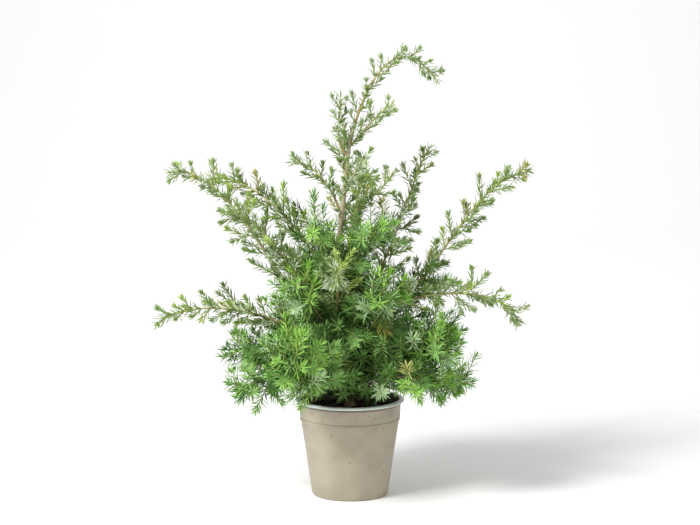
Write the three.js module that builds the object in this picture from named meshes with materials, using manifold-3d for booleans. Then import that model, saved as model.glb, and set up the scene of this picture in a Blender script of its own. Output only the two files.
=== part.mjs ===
// A young Chinese juniper in its round nursery pot, as a group of named solids.
// Millimetres, +Z up. The origin is the centre of the pot's flat underside. Seen from the front, +X runs to
// the right and +Y runs away.
import * as THREE from "three";
import { mergeVertices } from "three/addons/utils/BufferGeometryUtils.js";
import Module from "manifold-3d";

const wasm = await Module();
wasm.setup();

const UP = new THREE.Vector3(0, 0, 1);
const TURN = 2 * Math.PI;
const GOLDEN_ANGLE = Math.PI * (3 - Math.sqrt(5));
const GAP = 0.3; // left between two solids that touch

// Driving dimensions of the pot.
const POT_HEIGHT = 80;
const RIM_RADIUS = 45;
const BASE_RADIUS = 31.5;
const COLLAR_RADIUS = 42.2; // of the stacking collar, just under the lip
const COLLAR_HEIGHT = 15;
const COLLAR_STEP = 0.8; // from the body out to the collar's foot
const LIP_HEIGHT = 2.4;
const LIP_FOOT = POT_HEIGHT - LIP_HEIGHT;
const COLLAR_FOOT = LIP_FOOT - COLLAR_HEIGHT;
const COLLAR_FOOT_RADIUS = COLLAR_RADIUS - COLLAR_STEP;
const BODY_RADIUS = COLLAR_FOOT_RADIUS - COLLAR_STEP; // of the tapering body, at its top
const BEVEL = 0.8; // on the foot and the lip
const WALL = 1.2;
const FLOOR = 1.6;
const DRAIN_HOLES = 6;
const DRAIN_RADIUS = 3;
const DRAIN_CIRCLE = 22; // radius of the ring of drain holes
const POT_SIDES = 36;

// Driving dimensions of the plant.
const SOIL_TOP = 73; // the level patch that the trunk stands on
const SOIL_EDGE = 70.5; // where it meets the wall
const PATCH_RADIUS = 11;
const TRUNK_FOOT = SOIL_TOP + GAP;
const TRUNK_RADIUS = 3.1;
const FLARE_RADIUS = 5.4; // of the trunk's flat foot
const FLARE_HEIGHT = 9;
const LEADER_RADIUS = 1.4; // where the trunk ends and its green tip goes on
const LEADER_TOP = 300;
const TRUNK_SIDES = 7;
const TRUNK_STEPS = 18;
const BOUGH_SLENDERNESS = 0.0078; // radius of a bough's root for each millimetre of limb
const BOUGH_RADIUS_LEAST = 1.25;
const BOUGH_TAPER = 0.72;
const BOUGH_SIDES = 5;
const BOUGH_STEP = 15; // between the rings of a bough
const ROOT_HOLD = 0.42; // how far a limb keeps its first heading, as a share of its chord
const TIP_HOLD = 0.24;

// How far a limb may move to run clear of the others: degrees round the trunk, and millimetres along it.
const LIMB_SPACING = 6;
const SETTLE_TURNS = [0, 6, -6, 12, -12, 18, -18, 24, -24];
const SETTLE_RAISES = [0, 3, -3, 6, -6];
const SETTLE_STEPS = 30;

// How a mass of foliage grows on its stem. Lengths in millimetres, angles in degrees.
const BUSHY = {
  sideEvery: 11,
  sideLength: 37,
  tipShare: 0.5,
  bareShare: 0.32,
  spread: 60,
  lift: 0.14,
  whorl: 7,
  needle: 13,
  core: 0.9,
};
const WHIPPY = {
  sideEvery: 13,
  sideLength: 26,
  tipShare: 0.35,
  bareShare: 0.32,
  spread: 48,
  lift: 0.15,
  whorl: 6.8,
  needle: 8,
  core: 0.75,
};
const WISPY = {
  sideEvery: 11.5,
  sideLength: 15,
  tipShare: 0.55,
  bareShare: 0.3,
  spread: 44,
  lift: 0.15,
  whorl: 5,
  needle: 7.5,
  core: 0.75,
};
const STEM_NEEDLE_SHARE = 0.8; // a stem's needles against those of its side shoots
const NEEDLE_LEAN = 50; // degrees from the shoot
const WHORL_TURN = 68; // degrees between a whorl and the next
const SHOOT_ROOT_SHARE = 0.5; // a side shoot's thickness where it leaves the stem
const SHOOT_TIP_SHARE = 0.6; // a shoot's thickness at its tip
const BUD_SHARE = 3; // length of the bud that ends a shoot, against its radius
const LENGTH_JITTER = 0.2;
const SAMPLE_SHARES = [0.25, 0.5, 0.75, 1]; // where a stretch or a needle is tested for room
const SMALLEST_FEATURE = 0.05; // creases and steps finer than this are smoothed away
const TIER_SEED = 41;

// The long arching limbs. bearing is counted from +X towards +Y, leaves is the height where the limb leaves
// the trunk, reach and top place its tip, rise and pitch are its headings at the root and at the tip, and
// bough is the share of it that is a bare limb. A limb without it bears foliage right from the trunk.
const LONG_LIMBS = [
  { name: "west_arch", bearing: 184, leaves: 120, reach: 145, top: 268, rise: 44, pitch: -8, bough: 0.3 },
  { name: "west_inner", bearing: 203, leaves: 124, reach: 104, top: 240, rise: 50, pitch: 14 },
  { name: "west_mid", bearing: 170, leaves: 168, reach: 118, top: 260, rise: 66, pitch: -16, bough: 0.24 },
  { name: "west_low", bearing: 191, leaves: 108, reach: 157, top: 148, rise: 46, pitch: -36, bough: 0.34 },
  { name: "east_arch", bearing: 10, leaves: 108, reach: 150, top: 266, rise: 36, pitch: 6, bough: 0.32 },
  { name: "east_nod", bearing: -17, leaves: 122, reach: 141, top: 150, rise: 60, pitch: -76, bough: 0.3 },
  { name: "east_upright", bearing: 28, leaves: 132, reach: 74, top: 284, rise: 46, pitch: 58, bough: 0.26 },
  { name: "north_arch", bearing: 82, leaves: 140, reach: 116, top: 252, rise: 60, pitch: -38, bough: 0.28 },
  { name: "north_low", bearing: 122, leaves: 118, reach: 132, top: 178, rise: 46, pitch: -32, bough: 0.32 },
  { name: "south_arch", bearing: -96, leaves: 134, reach: 104, top: 190, rise: 58, pitch: -58, bough: 0.28 },
];

// Sprigs that grow straight from the leader.
const SPRIGS = [
  { name: "sprig_1", bearing: 164, leaves: 232, reach: 49, top: 275, rise: 72, pitch: -8 },
  { name: "sprig_2", bearing: 12, leaves: 222, reach: 34, top: 264, rise: 50, pitch: 66 },
  { name: "sprig_3", bearing: -72, leaves: 246, reach: 38, top: 282, rise: 48, pitch: 30 },
  { name: "sprig_4", bearing: 100, leaves: 264, reach: 34, top: 302, rise: 50, pitch: 40 },
  { name: "sprig_5", bearing: 196, leaves: 280, reach: 8, top: 328, rise: 44, pitch: 80 },
  { name: "sprig_6", bearing: -28, leaves: 288, reach: 37, top: 322, rise: 44, pitch: 24 },
];

// The short limbs of the dense lower crown, in rings from the pot's rim upwards. The lowest ring clears the
// rim at the front and the back, and hangs lower at the sides.
const TIERS = [
  { name: "skirt", count: 6, turn: 14, leaves: 84, reach: 88, top: 104, rise: 40, pitch: -32, bough: 0.36 },
  { name: "waist", count: 5, turn: 36, leaves: 95, reach: 97, top: 130, rise: 36, pitch: 4, bough: 0.28 },
  { name: "shoulder", count: 5, turn: 62, leaves: 136, reach: 70, top: 182, rise: 40, pitch: 28 },
  { name: "crown", count: 4, turn: 26, leaves: 176, reach: 46, top: 224, rise: 46, pitch: 52 },
];
const TIER_JITTER = { bearing: 9, leaves: 4, reach: 0.1, top: 9 };
const SKIRT_DROOP = 18; // how much lower the lowest ring hangs at the sides
const FOLIAGE_FOOT = 72; // no shoot or needle reaches lower

const radians = (degrees) => (degrees * Math.PI) / 180;
const mix = (a, b, share) => a + (b - a) * share;

// A seeded generator: a mass draws the same numbers on every run.
function seededRandom(seed) {
  let state = (seed * 2654435761) >>> 0;
  return () => {
    state = (Math.imul(state, 1664525) + 1013904223) >>> 0;
    return state / 4294967296;
  };
}

// Solids from vertices and triangles, and back to a geometry that draws with flat faces.
function solidFrom(vertices, triangles) {
  return new wasm.Manifold(
    new wasm.Mesh({
      numProp: 3,
      vertProperties: new Float32Array(vertices.flatMap((v) => [v.x, v.y, v.z])),
      triVerts: new Uint32Array(triangles.flat()),
    }),
  );
}

function solidOfGeometry(geometry) {
  const bare = geometry.clone();
  bare.deleteAttribute("normal");
  bare.deleteAttribute("uv");
  const merged = mergeVertices(bare, 1e-4);
  return new wasm.Manifold(
    new wasm.Mesh({
      numProp: 3,
      vertProperties: merged.attributes.position.array,
      triVerts: new Uint32Array(merged.index.array),
    }),
  );
}

function geometryOf(solid) {
  const mesh = solid.getMesh();
  const indexed = new THREE.BufferGeometry();
  indexed.setAttribute("position", new THREE.BufferAttribute(mesh.vertProperties, 3));
  indexed.setIndex(new THREE.BufferAttribute(mesh.triVerts, 1));
  const faceted = indexed.toNonIndexed();
  faceted.computeVertexNormals();
  return faceted;
}

// Cutting and fusing can leave loose scraps: only the largest piece stays.
function largestPiece(solid) {
  return solid.decompose().reduce((best, piece) => (piece.volume() > best.volume() ? piece : best));
}

// Lines in space. A frame holds a point's heading and two directions square to it, carried on without twist.
function framesAlong(points, firstHeading) {
  const last = points.length - 1;
  let side = null;
  return points.map((point, i) => {
    const heading =
      i === 0 && firstHeading
        ? firstHeading.clone()
        : points[Math.min(i + 1, last)].clone().sub(points[Math.max(i - 1, 0)]).normalize();
    if (!side) {
      const helper = Math.abs(heading.z) > 0.9 ? new THREE.Vector3(1, 0, 0) : UP;
      side = new THREE.Vector3().crossVectors(helper, heading);
    }
    side = side.clone().addScaledVector(heading, -side.dot(heading)).normalize();
    return { point, heading, side, other: new THREE.Vector3().crossVectors(heading, side) };
  });
}

function around(frame, angle, radius) {
  return frame.point
    .clone()
    .addScaledVector(frame.side, Math.cos(angle) * radius)
    .addScaledVector(frame.other, Math.sin(angle) * radius);
}

function distanceToLine(point, points) {
  const stretch = new THREE.Line3();
  const foot = new THREE.Vector3();
  let nearest = Infinity;
  for (let i = 1; i < points.length; i++) {
    stretch.set(points[i - 1], points[i]).closestPointToPoint(point, true, foot);
    nearest = Math.min(nearest, point.distanceTo(foot));
  }
  return nearest;
}

// A tapering limb: a ring of corners round each point, closed by a flat face at both ends.
function limbSolid(points, radii, sides, firstHeading) {
  const frames = framesAlong(points, firstHeading);
  const vertices = frames.flatMap((frame, i) =>
    Array.from({ length: sides }, (_, k) => around(frame, (TURN * k) / sides, radii[i])),
  );
  const triangles = [];
  const corner = (i, k) => i * sides + (k % sides);
  for (let i = 0; i + 1 < points.length; i++) {
    for (let k = 0; k < sides; k++) {
      triangles.push([corner(i, k), corner(i, k + 1), corner(i + 1, k + 1)]);
      triangles.push([corner(i, k), corner(i + 1, k + 1), corner(i + 1, k)]);
    }
  }
  const end = points.length - 1;
  for (let k = 1; k + 1 < sides; k++) {
    triangles.push([corner(0, 0), corner(0, k + 1), corner(0, k)]);
    triangles.push([corner(end, 0), corner(end, k), corner(end, k + 1)]);
  }
  return solidFrom(vertices, triangles);
}

// The way one side of a shoot's stretch faces, as an angle in the frame where the stretch starts.
function sideAngle(stretch, side) {
  return radians(WHORL_TURN) * (stretch + 0.5) + (TURN * (side + 0.5)) / 3;
}

// A three-sided shoot. Each stretch is turned by the whorl's turn against the last, and bears a whorl of
// three needles, a pyramid on each of its sides, or is bare. needles holds each stretch's needle length,
// or 0 where it is bare. isFree says whether a point of some thickness lies in the mass's own space.
function shootSolid(points, radii, needles, isFree) {
  const frames = framesAlong(points);
  const twist = radians(WHORL_TURN);
  const end = points.length - 1;
  const vertices = frames.flatMap((frame, i) =>
    [0, 1, 2].map((k) => around(frame, twist * i + (TURN * k) / 3, radii[i])),
  );
  const triangles = [];
  const corner = (i, k) => i * 3 + (k % 3);
  for (let i = 0; i < end; i++) {
    const middle = points[i].clone().lerp(points[i + 1], 0.5);
    for (let k = 0; k < 3; k++) {
      const quad = [corner(i, k), corner(i, k + 1), corner(i + 1, k + 1), corner(i + 1, k)];
      const outward = around({ ...frames[i], point: new THREE.Vector3() }, sideAngle(i, k), 1);
      const needle = outward
        .multiplyScalar(Math.sin(radians(NEEDLE_LEAN)))
        .addScaledVector(frames[i].heading, Math.cos(radians(NEEDLE_LEAN)))
        .multiplyScalar(needles[i]);
      const inOwnSpace = SAMPLE_SHARES.every((share) =>
        isFree(middle.clone().addScaledVector(needle, share), radii[i] * (1 - share)),
      );
      if (needles[i] > 0 && inOwnSpace) {
        vertices.push(middle.clone().add(needle));
        quad.forEach((from, n) => triangles.push([from, quad[(n + 1) % 4], vertices.length - 1]));
      } else {
        triangles.push([quad[0], quad[1], quad[3]], [quad[1], quad[2], quad[3]]);
      }
    }
  }
  vertices.push(points[end].clone().addScaledVector(frames[end].heading, BUD_SHARE * radii[end]));
  triangles.push([corner(0, 0), corner(0, 2), corner(0, 1)]);
  for (let k = 0; k < 3; k++) {
    triangles.push([corner(end, k), corner(end, k + 1), vertices.length - 1]);
  }
  return solidFrom(vertices, triangles);
}

// The pot: one turned shell with a lip, a stacking collar and drain holes in its flat floor.
function bodyRadius(height) {
  return mix(BASE_RADIUS, BODY_RADIUS, height / COLLAR_FOOT);
}

function turned(outline) {
  const points = outline.map(([radius, height]) => new THREE.Vector2(radius, height));
  return solidOfGeometry(new THREE.LatheGeometry(points, POT_SIDES).rotateX(Math.PI / 2));
}

function potSolid() {
  const shell = turned([
    [0, 0],
    [BASE_RADIUS - BEVEL, 0],
    [bodyRadius(BEVEL), BEVEL],
    [BODY_RADIUS, COLLAR_FOOT - COLLAR_STEP],
    [COLLAR_FOOT_RADIUS, COLLAR_FOOT],
    [COLLAR_RADIUS, LIP_FOOT],
    [RIM_RADIUS - BEVEL, LIP_FOOT],
    [RIM_RADIUS, LIP_FOOT + BEVEL],
    [RIM_RADIUS, POT_HEIGHT - BEVEL],
    [RIM_RADIUS - BEVEL, POT_HEIGHT],
    [COLLAR_RADIUS - WALL + BEVEL, POT_HEIGHT],
    [COLLAR_RADIUS - WALL, LIP_FOOT],
    [COLLAR_FOOT_RADIUS - WALL, COLLAR_FOOT],
    [BODY_RADIUS - WALL, COLLAR_FOOT - COLLAR_STEP],
    [bodyRadius(FLOOR) - WALL, FLOOR],
    [0, FLOOR],
  ]);
  const bore = new THREE.CylinderGeometry(DRAIN_RADIUS, DRAIN_RADIUS, 4 * FLOOR, 8).rotateX(Math.PI / 2);
  const angles = Array.from({ length: DRAIN_HOLES }, (_, i) => (TURN * (i + 0.5)) / DRAIN_HOLES);
  return angles.reduce((pot, angle) => {
    const placed = bore.clone().translate(DRAIN_CIRCLE * Math.cos(angle), DRAIN_CIRCLE * Math.sin(angle), 0);
    return pot.subtract(solidOfGeometry(placed));
  }, shell);
}

// The soil fills the pot from its floor to just under the rim, and is a little higher round the trunk.
function soilSolid() {
  const inset = WALL + GAP;
  return turned([
    [0, FLOOR + GAP],
    [bodyRadius(FLOOR) - inset - BEVEL, FLOOR + GAP],
    [BODY_RADIUS - inset, COLLAR_FOOT - 2 * COLLAR_STEP],
    [COLLAR_FOOT_RADIUS - inset, COLLAR_FOOT + COLLAR_STEP],
    [COLLAR_FOOT_RADIUS - inset, SOIL_EDGE],
    [0.55 * COLLAR_RADIUS, mix(SOIL_EDGE, SOIL_TOP, 0.6)],
    [PATCH_RADIUS, SOIL_TOP],
    [0, SOIL_TOP],
  ]);
}

// The trunk runs up as the leader. It leans a little to the left, then swings back to the right.
const TRUNK_LINE = new THREE.CatmullRomCurve3([
  new THREE.Vector3(0, 0, TRUNK_FOOT),
  new THREE.Vector3(-6, 2, 115),
  new THREE.Vector3(-13, 1, 174),
  new THREE.Vector3(-7, -2, 228),
  new THREE.Vector3(-1, 0, 286),
  new THREE.Vector3(2, 0.5, LEADER_TOP),
]);
const TRUNK_POINTS = TRUNK_LINE.getSpacedPoints(TRUNK_STEPS);

function trunkRadius(height) {
  const above = Math.max(0, height - TRUNK_FOOT);
  const foot = Math.max(0, 1 - above / FLARE_HEIGHT);
  const share = above / (LEADER_TOP - TRUNK_FOOT);
  return mix(TRUNK_RADIUS, LEADER_RADIUS, share) + (FLARE_RADIUS - TRUNK_RADIUS) * foot ** 2;
}

function trunkAt(height) {
  const above = TRUNK_POINTS.findIndex((point) => point.z >= height);
  const below = TRUNK_POINTS[above - 1];
  return below.clone().lerp(TRUNK_POINTS[above], (height - below.z) / (TRUNK_POINTS[above].z - below.z));
}

// How far a point stands off the trunk's surface.
function offTrunk(point) {
  return distanceToLine(point, TRUNK_POINTS) - trunkRadius(point.z);
}

function trunkSolid(spare) {
  const radii = TRUNK_POINTS.map((point) => trunkRadius(point.z) + spare);
  return limbSolid(TRUNK_POINTS, radii, TRUNK_SIDES, UP);
}

// A limb's line: it leaves the trunk at its rise and comes to its tip at its pitch.
function limbCurve(limb) {
  const root = trunkAt(limb.leaves);
  const bearing = radians(limb.bearing);
  const outward = new THREE.Vector3(Math.cos(bearing), Math.sin(bearing), 0);
  const tip = outward.clone().multiplyScalar(limb.reach).setZ(limb.top);
  const chord = root.distanceTo(tip);
  const heading = (pitch) =>
    outward.clone().multiplyScalar(Math.cos(radians(pitch))).addScaledVector(UP, Math.sin(radians(pitch)));
  return new THREE.CubicBezierCurve3(
    root,
    root.clone().addScaledVector(heading(limb.rise), ROOT_HOLD * chord),
    tip.clone().addScaledVector(heading(limb.pitch), -TIP_HOLD * chord),
    tip,
  );
}

// Points on a line at the given shares of its length.
function pointsAt(curve, shares) {
  return shares.map((share) => curve.getPointAt(share));
}

function evenShares(from, to, count) {
  return Array.from({ length: count + 1 }, (_, i) => mix(from, to, i / count));
}

// A foliage stem is a row of bare stretches, where side shoots leave it, each with a whorl after it.
function stemShares(from, length, habit) {
  const count = Math.max(2, Math.round(((1 - from) * length) / habit.sideEvery));
  const whorlShare = habit.whorl / habit.sideEvery;
  const shares = [from];
  for (let n = 0; n < count; n++) {
    shares.push(mix(from, 1, (n + 1 - whorlShare) / count), mix(from, 1, (n + 1) / count));
  }
  return shares;
}

function tierLimbs() {
  const random = seededRandom(TIER_SEED);
  const jitter = (size) => (random() * 2 - 1) * size;
  return TIERS.flatMap((tier) =>
    Array.from({ length: tier.count }, (_, i) => {
      const bearing = tier.turn + (360 * i) / tier.count + jitter(TIER_JITTER.bearing);
      const droop = tier.name === "skirt" ? SKIRT_DROOP * Math.cos(radians(bearing)) ** 2 : 0;
      return {
        ...tier,
        name: `${tier.name}_${i + 1}`,
        bearing,
        leaves: tier.leaves + jitter(TIER_JITTER.leaves),
        reach: tier.reach * (1 + jitter(TIER_JITTER.reach)),
        top: tier.top - droop + jitter(TIER_JITTER.top),
        habit: BUSHY,
      };
    }),
  );
}

// The leader's own tip: it goes on from the trunk, arches over to the right and nods.
const LEADER_CURVE = new THREE.CubicBezierCurve3(
  TRUNK_POINTS.at(-1),
  new THREE.Vector3(14, 2, 343),
  new THREE.Vector3(38, 4, 386),
  new THREE.Vector3(70, 4, 343),
);

// Limbs are turned, and moved up or down the trunk, by a little until they run clear of those before them.
function settled(limbs) {
  const lines = [];
  return limbs.map((limb) => {
    const tries = SETTLE_RAISES.flatMap((raise) =>
      SETTLE_TURNS.map((turn) => ({ ...limb, bearing: limb.bearing + turn, leaves: limb.leaves + raise })),
    ).map((moved) => {
      const line = limbCurve(moved)
        .getSpacedPoints(SETTLE_STEPS)
        .filter((point) => offTrunk(point) > 0);
      const distances = lines.flatMap((other) => line.map((point) => distanceToLine(point, other)));
      return { moved, line, room: Math.min(LIMB_SPACING, ...distances) };
    });
    const best = tries.reduce((a, b) => (b.room > a.room ? b : a));
    lines.push(best.line);
    return best.moved;
  });
}

// Every limb, with the points of its bare bough and of its foliage stem, and its thickness where they meet.
function grownLimb(limb) {
  const curve = limb.curve ?? limbCurve(limb);
  const length = curve.getLength();
  const bare = limb.bough ?? 0;
  const rootRadius = limb.curve ? LEADER_RADIUS : Math.max(BOUGH_RADIUS_LEAST, BOUGH_SLENDERNESS * length);
  const from = bare > 0 || limb.curve ? bare + GAP / length : 0;
  const boughSteps = Math.ceil((bare * length) / BOUGH_STEP);
  return {
    ...limb,
    rootRadius,
    meetRadius: rootRadius * BOUGH_TAPER,
    boughPoints: bare > 0 ? pointsAt(curve, evenShares(0, bare, boughSteps)) : [],
    stemPoints: pointsAt(curve, stemShares(from, length, limb.habit)),
  };
}

const LIMBS = [
  { name: "leader_tip", curve: LEADER_CURVE, habit: WISPY },
  ...settled([
    ...LONG_LIMBS.map((limb) => ({ ...limb, habit: WHIPPY })),
    ...SPRIGS.map((limb) => ({ ...limb, habit: WISPY })),
    ...tierLimbs(),
  ]),
].map(grownLimb);

// A mass keeps to its own space: nearer to its own stem than to any other, clear of the limbs and the pot.
// The answer is for a point of the given thickness.
function spaceOf(limb) {
  const others = LIMBS.filter((other) => other !== limb).map((other) => other.stemPoints);
  const boughs = LIMBS.filter((other) => other.boughPoints.length);
  return (point, thickness) => {
    const room = thickness + GAP;
    if (point.z < POT_HEIGHT + room && Math.hypot(point.x, point.y) < RIM_RADIUS + room) return false;
    if (point.z < FOLIAGE_FOOT + room || offTrunk(point) < room) return false;
    const own = distanceToLine(point, limb.stemPoints);
    return (
      boughs.every((other) => distanceToLine(point, other.boughPoints) > other.rootRadius + room) &&
      others.every((stem) => distanceToLine(point, stem) > own + thickness + room)
    );
  };
}

function boughSolid(limb) {
  const radii = limb.boughPoints.map((_, i) =>
    mix(limb.rootRadius, limb.meetRadius, i / (limb.boughPoints.length - 1)),
  );
  return limbSolid(limb.boughPoints, radii, BOUGH_SIDES);
}

// A side shoot is bare at its root, then bears a whorl on every stretch. It leaves the stem at the habit's
// spread and lifts a little towards its tip.
function sideShootPoints(frame, angle, length, habit) {
  const outward = around({ ...frame, point: new THREE.Vector3() }, angle, 1);
  const heading = outward
    .multiplyScalar(Math.sin(radians(habit.spread)))
    .addScaledVector(frame.heading, Math.cos(radians(habit.spread)));
  const whorls = Math.max(1, Math.round((length * (1 - habit.bareShare)) / habit.whorl));
  return [0, ...evenShares(habit.bareShare, 1, whorls)].map((share) =>
    frame.point
      .clone()
      .addScaledVector(heading, share * length)
      .addScaledVector(UP, habit.lift * share * share * length),
  );
}

// A mass of foliage: its stem, and side shoots in a spiral round it, one from each bare stretch.
function massSolid(limb, seed) {
  const { habit, stemPoints } = limb;
  const random = seededRandom(seed);
  const isFree = spaceOf(limb);
  const last = stemPoints.length - 1;
  const sideCount = last / 2;
  const stemRadii = stemPoints.map((_, i) => mix(limb.meetRadius, habit.core * SHOOT_TIP_SHARE, i / last));
  const stemNeedles = stemPoints.slice(1).map((_, i) => (i % 2) * habit.needle * STEM_NEEDLE_SHARE);
  const frames = framesAlong(stemPoints);
  const firstAngle = random() * TURN;
  let mass = shootSolid(stemPoints, stemRadii, stemNeedles, isFree);
  for (let n = 0; n < sideCount; n++) {
    const frame = frames[2 * n];
    const root = frame.point.clone().lerp(stemPoints[2 * n + 1], 0.5);
    const wanted = firstAngle + n * GOLDEN_ANGLE;
    const side = Math.round(((wanted - sideAngle(2 * n, 0)) * 3) / TURN);
    const angle = sideAngle(2 * n, side);
    const jitter = mix(1 - LENGTH_JITTER, 1 + LENGTH_JITTER, random());
    const length = habit.sideLength * mix(1, habit.tipShare, n / sideCount) * jitter;
    const points = sideShootPoints({ ...frame, point: root }, angle, length, habit);
    const leavesSpace = (point, i) =>
      i > 0 && SAMPLE_SHARES.some((share) => !isFree(points[i - 1].clone().lerp(point, share), habit.core));
    const stop = points.findIndex(leavesSpace);
    const kept = stop < 0 ? points : points.slice(0, stop);
    if (kept.length < 3) continue;
    const radii = kept.map((_, i) => habit.core * mix(1, SHOOT_TIP_SHARE, i / (kept.length - 1)));
    radii[0] = habit.core * SHOOT_ROOT_SHARE;
    const needles = kept.slice(1).map((_, i) => (i > 0 ? habit.needle : 0));
    mass = mass.add(shootSolid(kept, radii, needles, isFree));
  }
  return mass.simplify(SMALLEST_FEATURE);
}

const finish = (colour, roughness) =>
  new THREE.MeshStandardMaterial({ color: new THREE.Color(colour), roughness, metalness: 0 });
const TAUPE_PLASTIC = finish(0xa79a86, 0.55);
const PEAT = finish(0x2b201a, 0.95);
const BARK = finish(0x8a6a48, 0.85);
const GREEN_WOOD = finish(0x8f8a4c, 0.75);
const NEEDLE_GREEN = finish(0x5f8f3e, 0.6);
const NEEDLE_BLUE_GREEN = finish(0x6d9468, 0.6);

const plant = new THREE.Group();
plant.name = "potted_chinese_juniper";

function place(name, solid, material) {
  const mesh = new THREE.Mesh(geometryOf(largestPiece(solid)), material);
  mesh.name = name;
  plant.add(mesh);
}

const trunkWithGap = trunkSolid(GAP);
place("pot", potSolid(), TAUPE_PLASTIC);
place("soil", soilSolid(), PEAT);
place("trunk", trunkSolid(0), BARK);
LIMBS.forEach((limb, i) => {
  const meetsTrunk = !limb.curve;
  if (limb.boughPoints.length) {
    place(`bough_${limb.name}`, boughSolid(limb).subtract(trunkWithGap), GREEN_WOOD);
  }
  const mass = massSolid(limb, i + 1);
  const material = limb.habit === BUSHY ? NEEDLE_GREEN : NEEDLE_BLUE_GREEN;
  place(`foliage_${limb.name}`, meetsTrunk ? mass.subtract(trunkWithGap) : mass, material);
});

export default plant;
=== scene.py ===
# %% [markdown]
# # A potted Chinese juniper
# The object is a young Chinese juniper, about 37 cm tall, in the 9 cm nursery pot that it is sold in.
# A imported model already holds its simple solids: the pot, the soil, the trunk, the bare boughs and one
# rough mass of needles for each limb. This lesson dresses that model: each solid is replaced by finer
# pieces that stay in the same place.
#
# Everything is in one frame. The origin is the centre of the pot's flat underside, +Z is up, the viewer
# stands on the -Y side, and Blender counts in metres. Plants are easier to think about in millimetres, so
# the sizes below are in millimetres and are turned into metres when a mesh is made.

# %% Load the frame
import math

import bpy
import numpy as np
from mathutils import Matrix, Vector


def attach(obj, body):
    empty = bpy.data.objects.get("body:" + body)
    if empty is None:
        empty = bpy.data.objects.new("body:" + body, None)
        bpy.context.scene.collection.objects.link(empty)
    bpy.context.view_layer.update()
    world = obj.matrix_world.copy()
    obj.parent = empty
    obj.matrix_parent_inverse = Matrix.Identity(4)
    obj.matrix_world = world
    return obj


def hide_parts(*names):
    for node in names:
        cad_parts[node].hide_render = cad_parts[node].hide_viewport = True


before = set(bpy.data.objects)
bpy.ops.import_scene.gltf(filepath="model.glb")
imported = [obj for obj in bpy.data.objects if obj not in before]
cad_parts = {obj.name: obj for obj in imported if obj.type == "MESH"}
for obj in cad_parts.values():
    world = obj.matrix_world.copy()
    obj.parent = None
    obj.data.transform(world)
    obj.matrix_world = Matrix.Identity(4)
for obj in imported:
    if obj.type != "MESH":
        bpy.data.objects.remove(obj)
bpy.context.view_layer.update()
MM = 0.001
TURN = 2 * math.pi
print("nodes in the frame:", len(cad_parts))

# %% [markdown]
# ## Camera, floor and light
# The plant was seen from about 1.6 m away and a little above the pot's rim, so the rim shows as a thin
# ellipse with the dark soil behind it. A long lens keeps that view natural. Nursery pictures are taken on a
# white ground in soft light from all round, with a little more from the upper left. Here a pale floor that
# sweeps up behind the plant, a plain white world and a large lamp at the upper left give the same. A weak
# lamp at the right opens the shadows, and a third one keeps the backdrop white.

# %% Camera
CAMERA_PLACE = Vector((0, -1.5706, 0.3853))
CAMERA_AIM = Vector((0, 0, 0.193))
turn_to_aim = (CAMERA_AIM - CAMERA_PLACE).to_track_quat("-Z", "Y").to_euler()
bpy.ops.object.camera_add(location=CAMERA_PLACE, rotation=turn_to_aim)
camera = bpy.context.object
camera.name = "camera"
camera.data.lens = 99
camera.data.sensor_width = 36
bpy.context.scene.camera = camera
print("camera looks down by", round(math.degrees(math.pi / 2 - turn_to_aim.x), 1), "degrees")

# %% [markdown]
# ### Helpers
# Every finish here is a shader fed by a few patterns. The same kinds of node come back each time, so each
# kind gets a short function that adds it and returns its output. Modelling by hand in code comes down to
# selecting the right edges or faces and then calling an operator, and that gets its helpers too.

# %% Materials are built from a few helpers
def linear(red, green, blue):
    """A colour as a paint chart gives it, from 0 to 255, in the scene's linear light."""
    values = np.array([red, green, blue]) / 255
    return (*np.where(values <= 0.04045, values / 12.92, ((values + 0.055) / 1.055) ** 2.4), 1.0)


def shader_inputs(material):
    return material.node_tree.nodes["Principled BSDF"].inputs


def new_material(name, colour, roughness, shine=0.5):
    """A material with a plain colour, ready to have patterns fed into its shader."""
    material = bpy.data.materials.new(name)
    material.use_nodes = True
    inputs = shader_inputs(material)
    inputs["Base Color"].default_value = linear(*colour)
    inputs["Roughness"].default_value = roughness
    inputs["Specular IOR Level"].default_value = shine
    material.diffuse_color = linear(*colour)
    return material


def add_node(material, kind, sockets=None, **settings):
    """Adds a node. A socket is fed from another node's output, or given a value."""
    made = material.node_tree.nodes.new(kind)
    for name, value in settings.items():
        setattr(made, name, value)
    for key, value in (sockets or {}).items():
        if isinstance(value, bpy.types.NodeSocket):
            material.node_tree.links.new(value, made.inputs[key])
        else:
            made.inputs[key].default_value = value
    return made


def feed_shader(material, socket, output):
    material.node_tree.links.new(output, shader_inputs(material)[socket])


# %% Patterns
def noise(material, place, scale, detail, roughness=0.5):
    sockets = {"Vector": place, "Scale": scale, "Detail": detail, "Roughness": roughness}
    return add_node(material, "ShaderNodeTexNoise", sockets).outputs[0]


def remap(material, value, low, high, new_low=0, new_high=1):
    """Stretches what lies between low and high to a new range, and holds it there at both ends."""
    sockets = {"Value": value, "From Min": low, "From Max": high, "To Min": new_low, "To Max": new_high}
    return add_node(material, "ShaderNodeMapRange", sockets).outputs[0]


def calculate(material, operation, first, second=0.0):
    return add_node(material, "ShaderNodeMath", {0: first, 1: second}, operation=operation).outputs[0]


def product(material, first, *others):
    for other in others:
        first = calculate(material, "MULTIPLY", first, other)
    return first


def colour_ramp(material, factor, stops):
    """Turns a grey pattern into colours: stops are (place from 0 to 1, colour)."""
    ramp = add_node(material, "ShaderNodeValToRGB", {"Fac": factor})
    elements = ramp.color_ramp.elements
    while len(elements) < len(stops):
        elements.new(0.5)
    for element, (place, colour) in zip(elements, stops):
        element.position = place
        element.color = linear(*colour)
    return ramp.outputs["Color"]


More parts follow.
